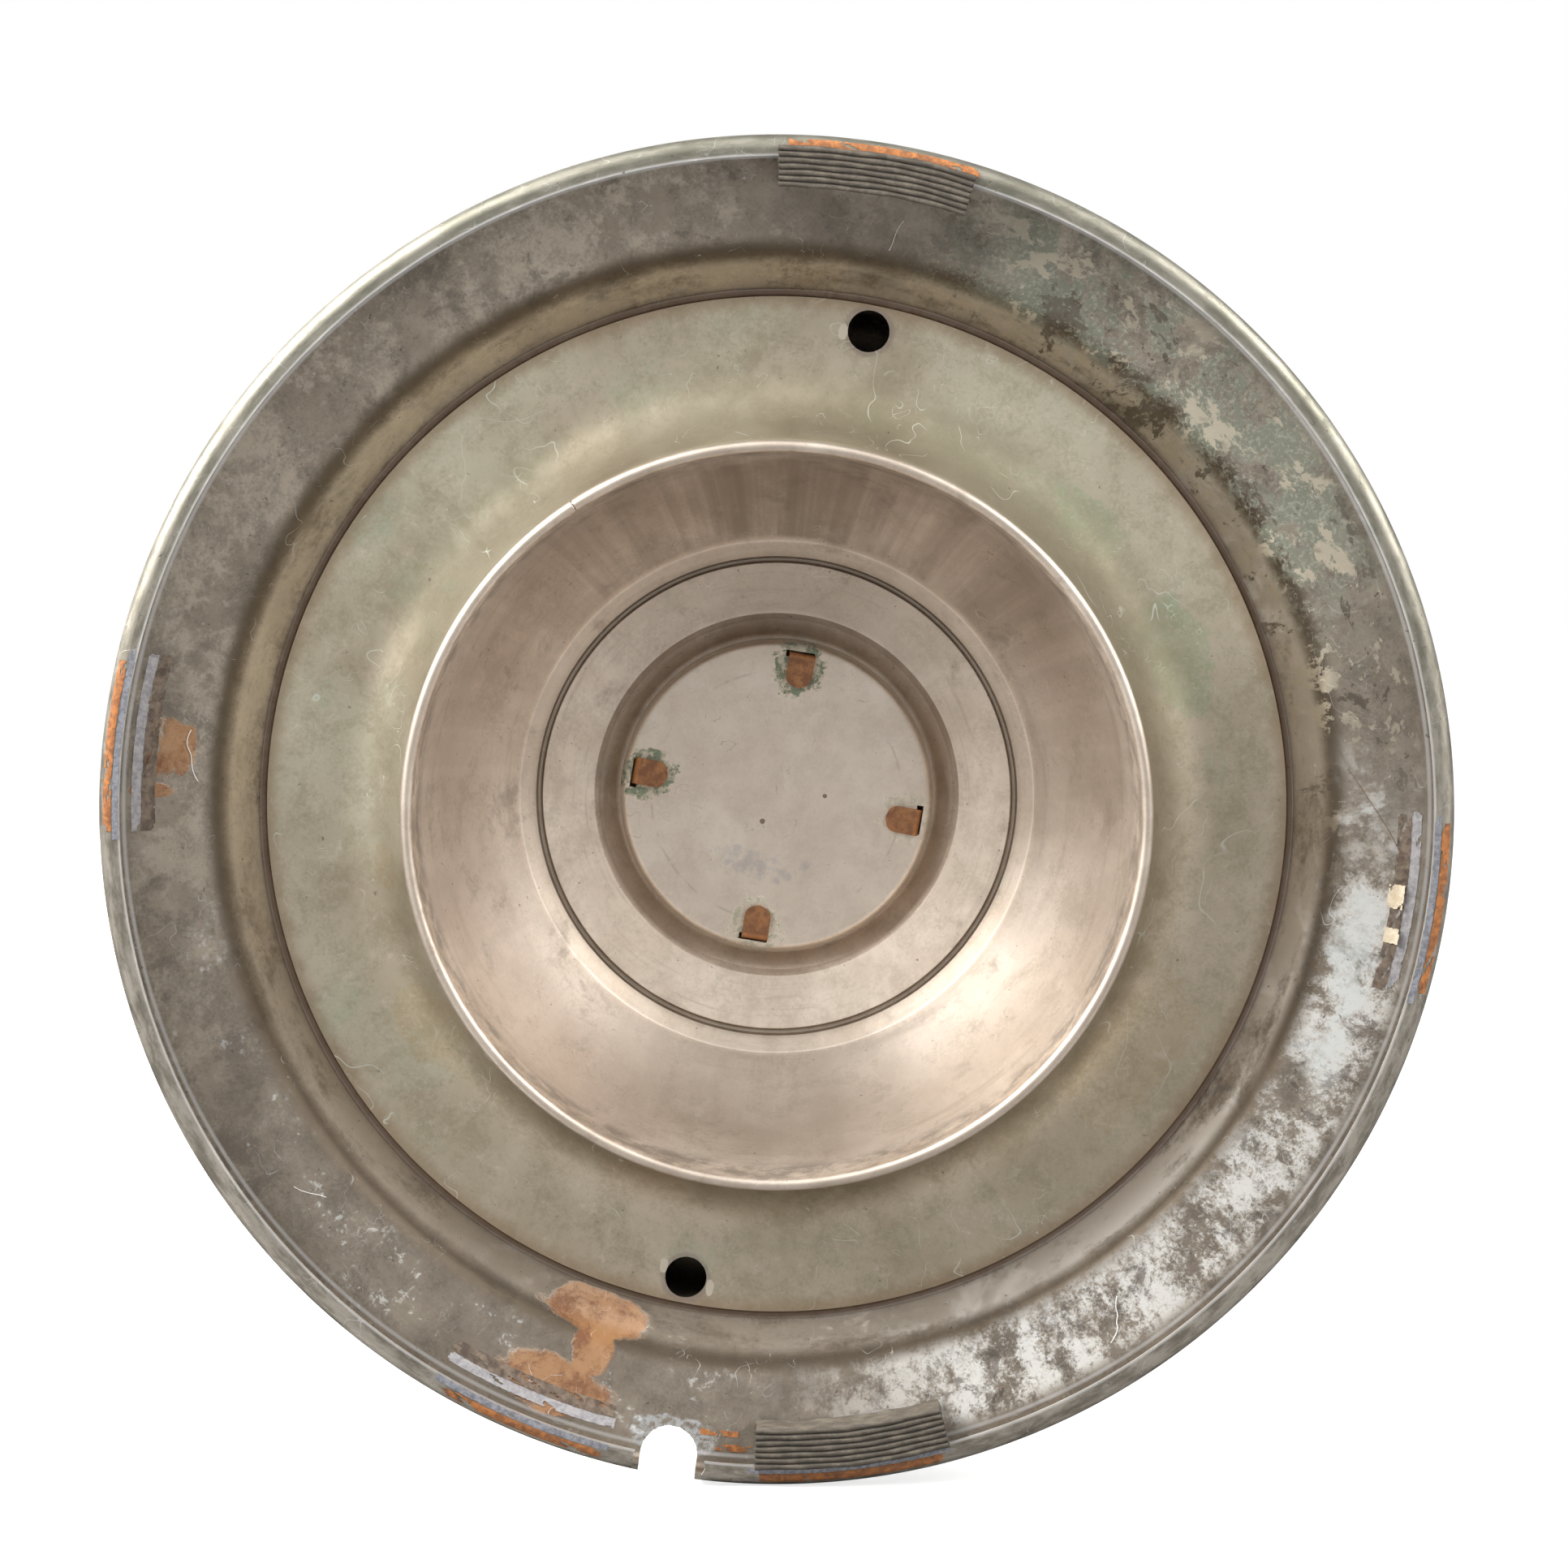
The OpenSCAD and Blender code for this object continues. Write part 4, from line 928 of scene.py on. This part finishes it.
film("flake_right_a", 137.6, 141.0, 177.2, 179.4, 0.85, 0.20, CREAM, seed=61, curl=0.6)
film("flake_right_b", 138.2, 141.4, 181.2, 182.6, 0.85, 0.20, CREAM, seed=62, curl=0.8)
film("glue_drop_a", 140.0, 141.2, 264.0, 267.5, 0.8, 0.10, GLUE_FILM, seed=71)
film("glue_drop_b", 143.0, 144.4, 262.8, 266.0, 0.7, 0.10, GLUE_FILM, seed=72)


def thread(name, points, radius, material):
    """A fine fibre or hair lying on the casing; points are (radius, turn)."""
    curve = bpy.data.curves.new(name, "CURVE")
    curve.dimensions, curve.bevel_depth, curve.bevel_resolution = "3D", radius * MM, 2
    line = curve.splines.new("NURBS")
    line.points.add(len(points) - 1)
    for spot, (r, turn) in zip(line.points, points):
        a = math.radians(turn)
        spot.co = (r * math.cos(a) * MM, r * math.sin(a) * MM, (under_casing(r) - radius * 1.2) * MM, 1)
    line.use_endpoint_u, line.order_u = True, 4
    holder = placed(name, curve)
    graph = bpy.context.evaluated_depsgraph_get()
    mesh = bpy.data.meshes.new_from_object(holder.evaluated_get(graph))
    bpy.data.objects.remove(holder)
    piece(name, mesh, "casing_metal", material=material)


thread("fibre_a", [(133, 225.5), (135, 226.4), (136.5, 226.2), (138, 227.2), (139.5, 227.0), (141, 228.4)],
       0.14, FIBRE)
thread("fibre_b", [(127, 91.8), (129.5, 92.2), (131.5, 91.9), (134, 92.6)], 0.07, FIBRE)
thread("fibre_c", [(129, 353.5), (131, 354.6), (130, 356.4), (133, 357), (131.5, 358.5)], 0.10, FIBRE)
thread("fibre_d", [(133, 309.8), (134, 310.8), (136, 311.2), (137, 312.6)], 0.09, FIBRE)
thread("hair", [(128, 166.5), (132, 169.4), (136, 171.8), (140, 174.8), (142, 176.6)], 0.06, HAIR)

# ---- materials of the CAD's own pieces
for entry in frame["record"]["subparts"]:
    node = frame["nodes"][entry["node"]]
    for holder in node.material_slots:
        holder.material = MATERIALS[entry["material_slot"]]

# ---- stage, light and camera
LEAN = math.radians(9.5)
up = Vector((math.sin(LEAN), math.cos(LEAN), 0))
right = Vector((-math.cos(LEAN), math.sin(LEAN), 0))
toward = Vector((0, 0, -1))
TILT, DISTANCE, FOCAL, SHIFT_X, SHIFT_Y = math.radians(5.19), 1.4342, 149.07, 0.0047, 0.0208
target = Vector((0, 0, LIP_Z * MM))


def stage_floor(name, centre, across, along, material):
    """A square of floor seen only from its front."""
    corners = [centre + (across * a + along * b) * FLOOR_HALF
               for a, b in ((-1, -1), (1, -1), (1, 1), (-1, 1))]
    mesh = bpy.data.meshes.new(name)
    mesh.from_pydata([tuple(c) for c in corners], [], [(0, 1, 2, 3)])
    mesh.materials.append(material)
    made = placed(name, mesh)
    return made


def floor_material(name, glow, gloss):
    """Pale floor, clear from behind; glow lifts it to white where it is looked at."""
    material = bpy.data.materials.new(name)
    material.use_nodes = True
    tree = material.node_tree
    shader = tree.nodes["Principled BSDF"]
    shader.inputs["Roughness"].default_value = gloss
    shader.inputs["Emission Color"].default_value = (1, 1, 1, 1)
    lift = tree.nodes.new("ShaderNodeMath")
    lift.operation = "MULTIPLY"
    lift.inputs[1].default_value = glow
    tone = tree.nodes.new("ShaderNodeMix")
    tone.data_type = "RGBA"
    for i, grey in ((6, 0.24), (7, 0.62)):
        tone.inputs[i].default_value = (grey, grey, grey, 1)
    direct = tree.nodes.new("ShaderNodeLightPath").outputs["Is Camera Ray"]
    tree.links.new(direct, lift.inputs[0])
    tree.links.new(direct, tone.inputs[0])
    tree.links.new(tone.outputs[2], shader.inputs["Base Color"])
    tree.links.new(lift.outputs[0], shader.inputs["Emission Strength"])
    clear = tree.nodes.new("ShaderNodeBsdfTransparent")
    mix = tree.nodes.new("ShaderNodeMixShader")
    tree.links.new(tree.nodes.new("ShaderNodeNewGeometry").outputs["Backfacing"], mix.inputs[0])
    tree.links.new(shader.outputs[0], mix.inputs[1])
    tree.links.new(clear.outputs[0], mix.inputs[2])
    tree.links.new(mix.outputs[0], tree.nodes["Material Output"].inputs[0])
    return material


below = 0.2 * MM     # between the turntable and each floor
stage_floor("rim_floor", -up * (BASE_R * MM + below), toward, right,
            floor_material("rim_floor", 0.72, 0.16))
bench = stage_floor("bench", Vector((0, 0, -below)), Vector((1, 0, 0)), Vector((0, 1, 0)),
                    floor_material("bench", 0.25, 0.35))
bench.visible_glossy = bench.visible_diffuse = bench.visible_shadow = False

world = bpy.data.worlds.new("studio")
bpy.context.scene.world = world
world.use_nodes = True
nodes, links = world.node_tree.nodes, world.node_tree.links
seen = nodes["Background"]
seen.inputs[0].default_value, seen.inputs[1].default_value = (1, 1, 1, 1), 1.0
room = nodes.new("ShaderNodeBackground")
room.inputs[0].default_value = (0.97, 0.985, 1.0, 1)
height = nodes.new("ShaderNodeVectorMath")
height.operation = "DOT_PRODUCT"
height.inputs[1].default_value = up
fade = nodes.new("ShaderNodeMapRange")
fade.interpolation_type = "SMOOTHSTEP"
for socket, value in zip(list(fade.inputs)[1:5], (-0.65, 0.60, 0.04, 0.56)):
    socket.default_value = value
links.new(nodes.new("ShaderNodeTexCoord").outputs["Generated"], height.inputs[0])
links.new(height.outputs["Value"], fade.inputs[0])
links.new(fade.outputs[0], room.inputs[1])
share = nodes.new("ShaderNodeMixShader")
links.new(nodes.new("ShaderNodeLightPath").outputs["Is Camera Ray"], share.inputs[0])
links.new(room.outputs[0], share.inputs[1])
links.new(seen.outputs[0], share.inputs[2])
links.new(share.outputs[0], nodes["World Output"].inputs[0])


def soft_light(name, side, lift, front, size, watts):
    """A square soft box at a place given sideways, upwards and towards the camera, in metres."""
    lamp = bpy.data.lights.new(name, "AREA")
    lamp.shape, lamp.size, lamp.energy = "SQUARE", size, watts
    made = placed(name, lamp)
    made.location = target + right * side + up * lift + toward * front
    made.rotation_mode = "QUATERNION"
    made.rotation_quaternion = (target - made.location).to_track_quat("-Z", "Y")
    made.visible_camera = False


soft_light("key_left", -1.00, 0.90, 0.80, 0.70, 15)
soft_light("key_right", 1.05, 0.85, 0.80, 0.70, 11)
soft_light("edge_left", -1.25, 1.00, 0.30, 0.60, 52)
soft_light("edge_right", 1.30, 0.80, 0.30, 0.60, 18)
soft_light("overhead", 0.0, 1.5, 0.3, 0.8, 3)
soft_light("above_head", -0.5, 0.3, -1.4, 1.2, 16)

camera = placed("camera", bpy.data.cameras.new("camera"))
bpy.context.scene.camera = camera
camera.data.lens, camera.data.sensor_width = FOCAL, 36
camera.data.shift_x, camera.data.shift_y = SHIFT_X, SHIFT_Y
camera.data.clip_end = 50
back = toward * math.cos(TILT) + up * math.sin(TILT)
lift = up * math.cos(TILT) - toward * math.sin(TILT)
side = lift.cross(back)
axes = Matrix((side, lift, back)).transposed().to_4x4()
camera.matrix_world = Matrix.Translation(target + back * DISTANCE) @ axes

view = bpy.context.scene.view_settings
view.view_transform, view.look, view.exposure, view.gamma = "Standard", "None", 0.0, 1.0
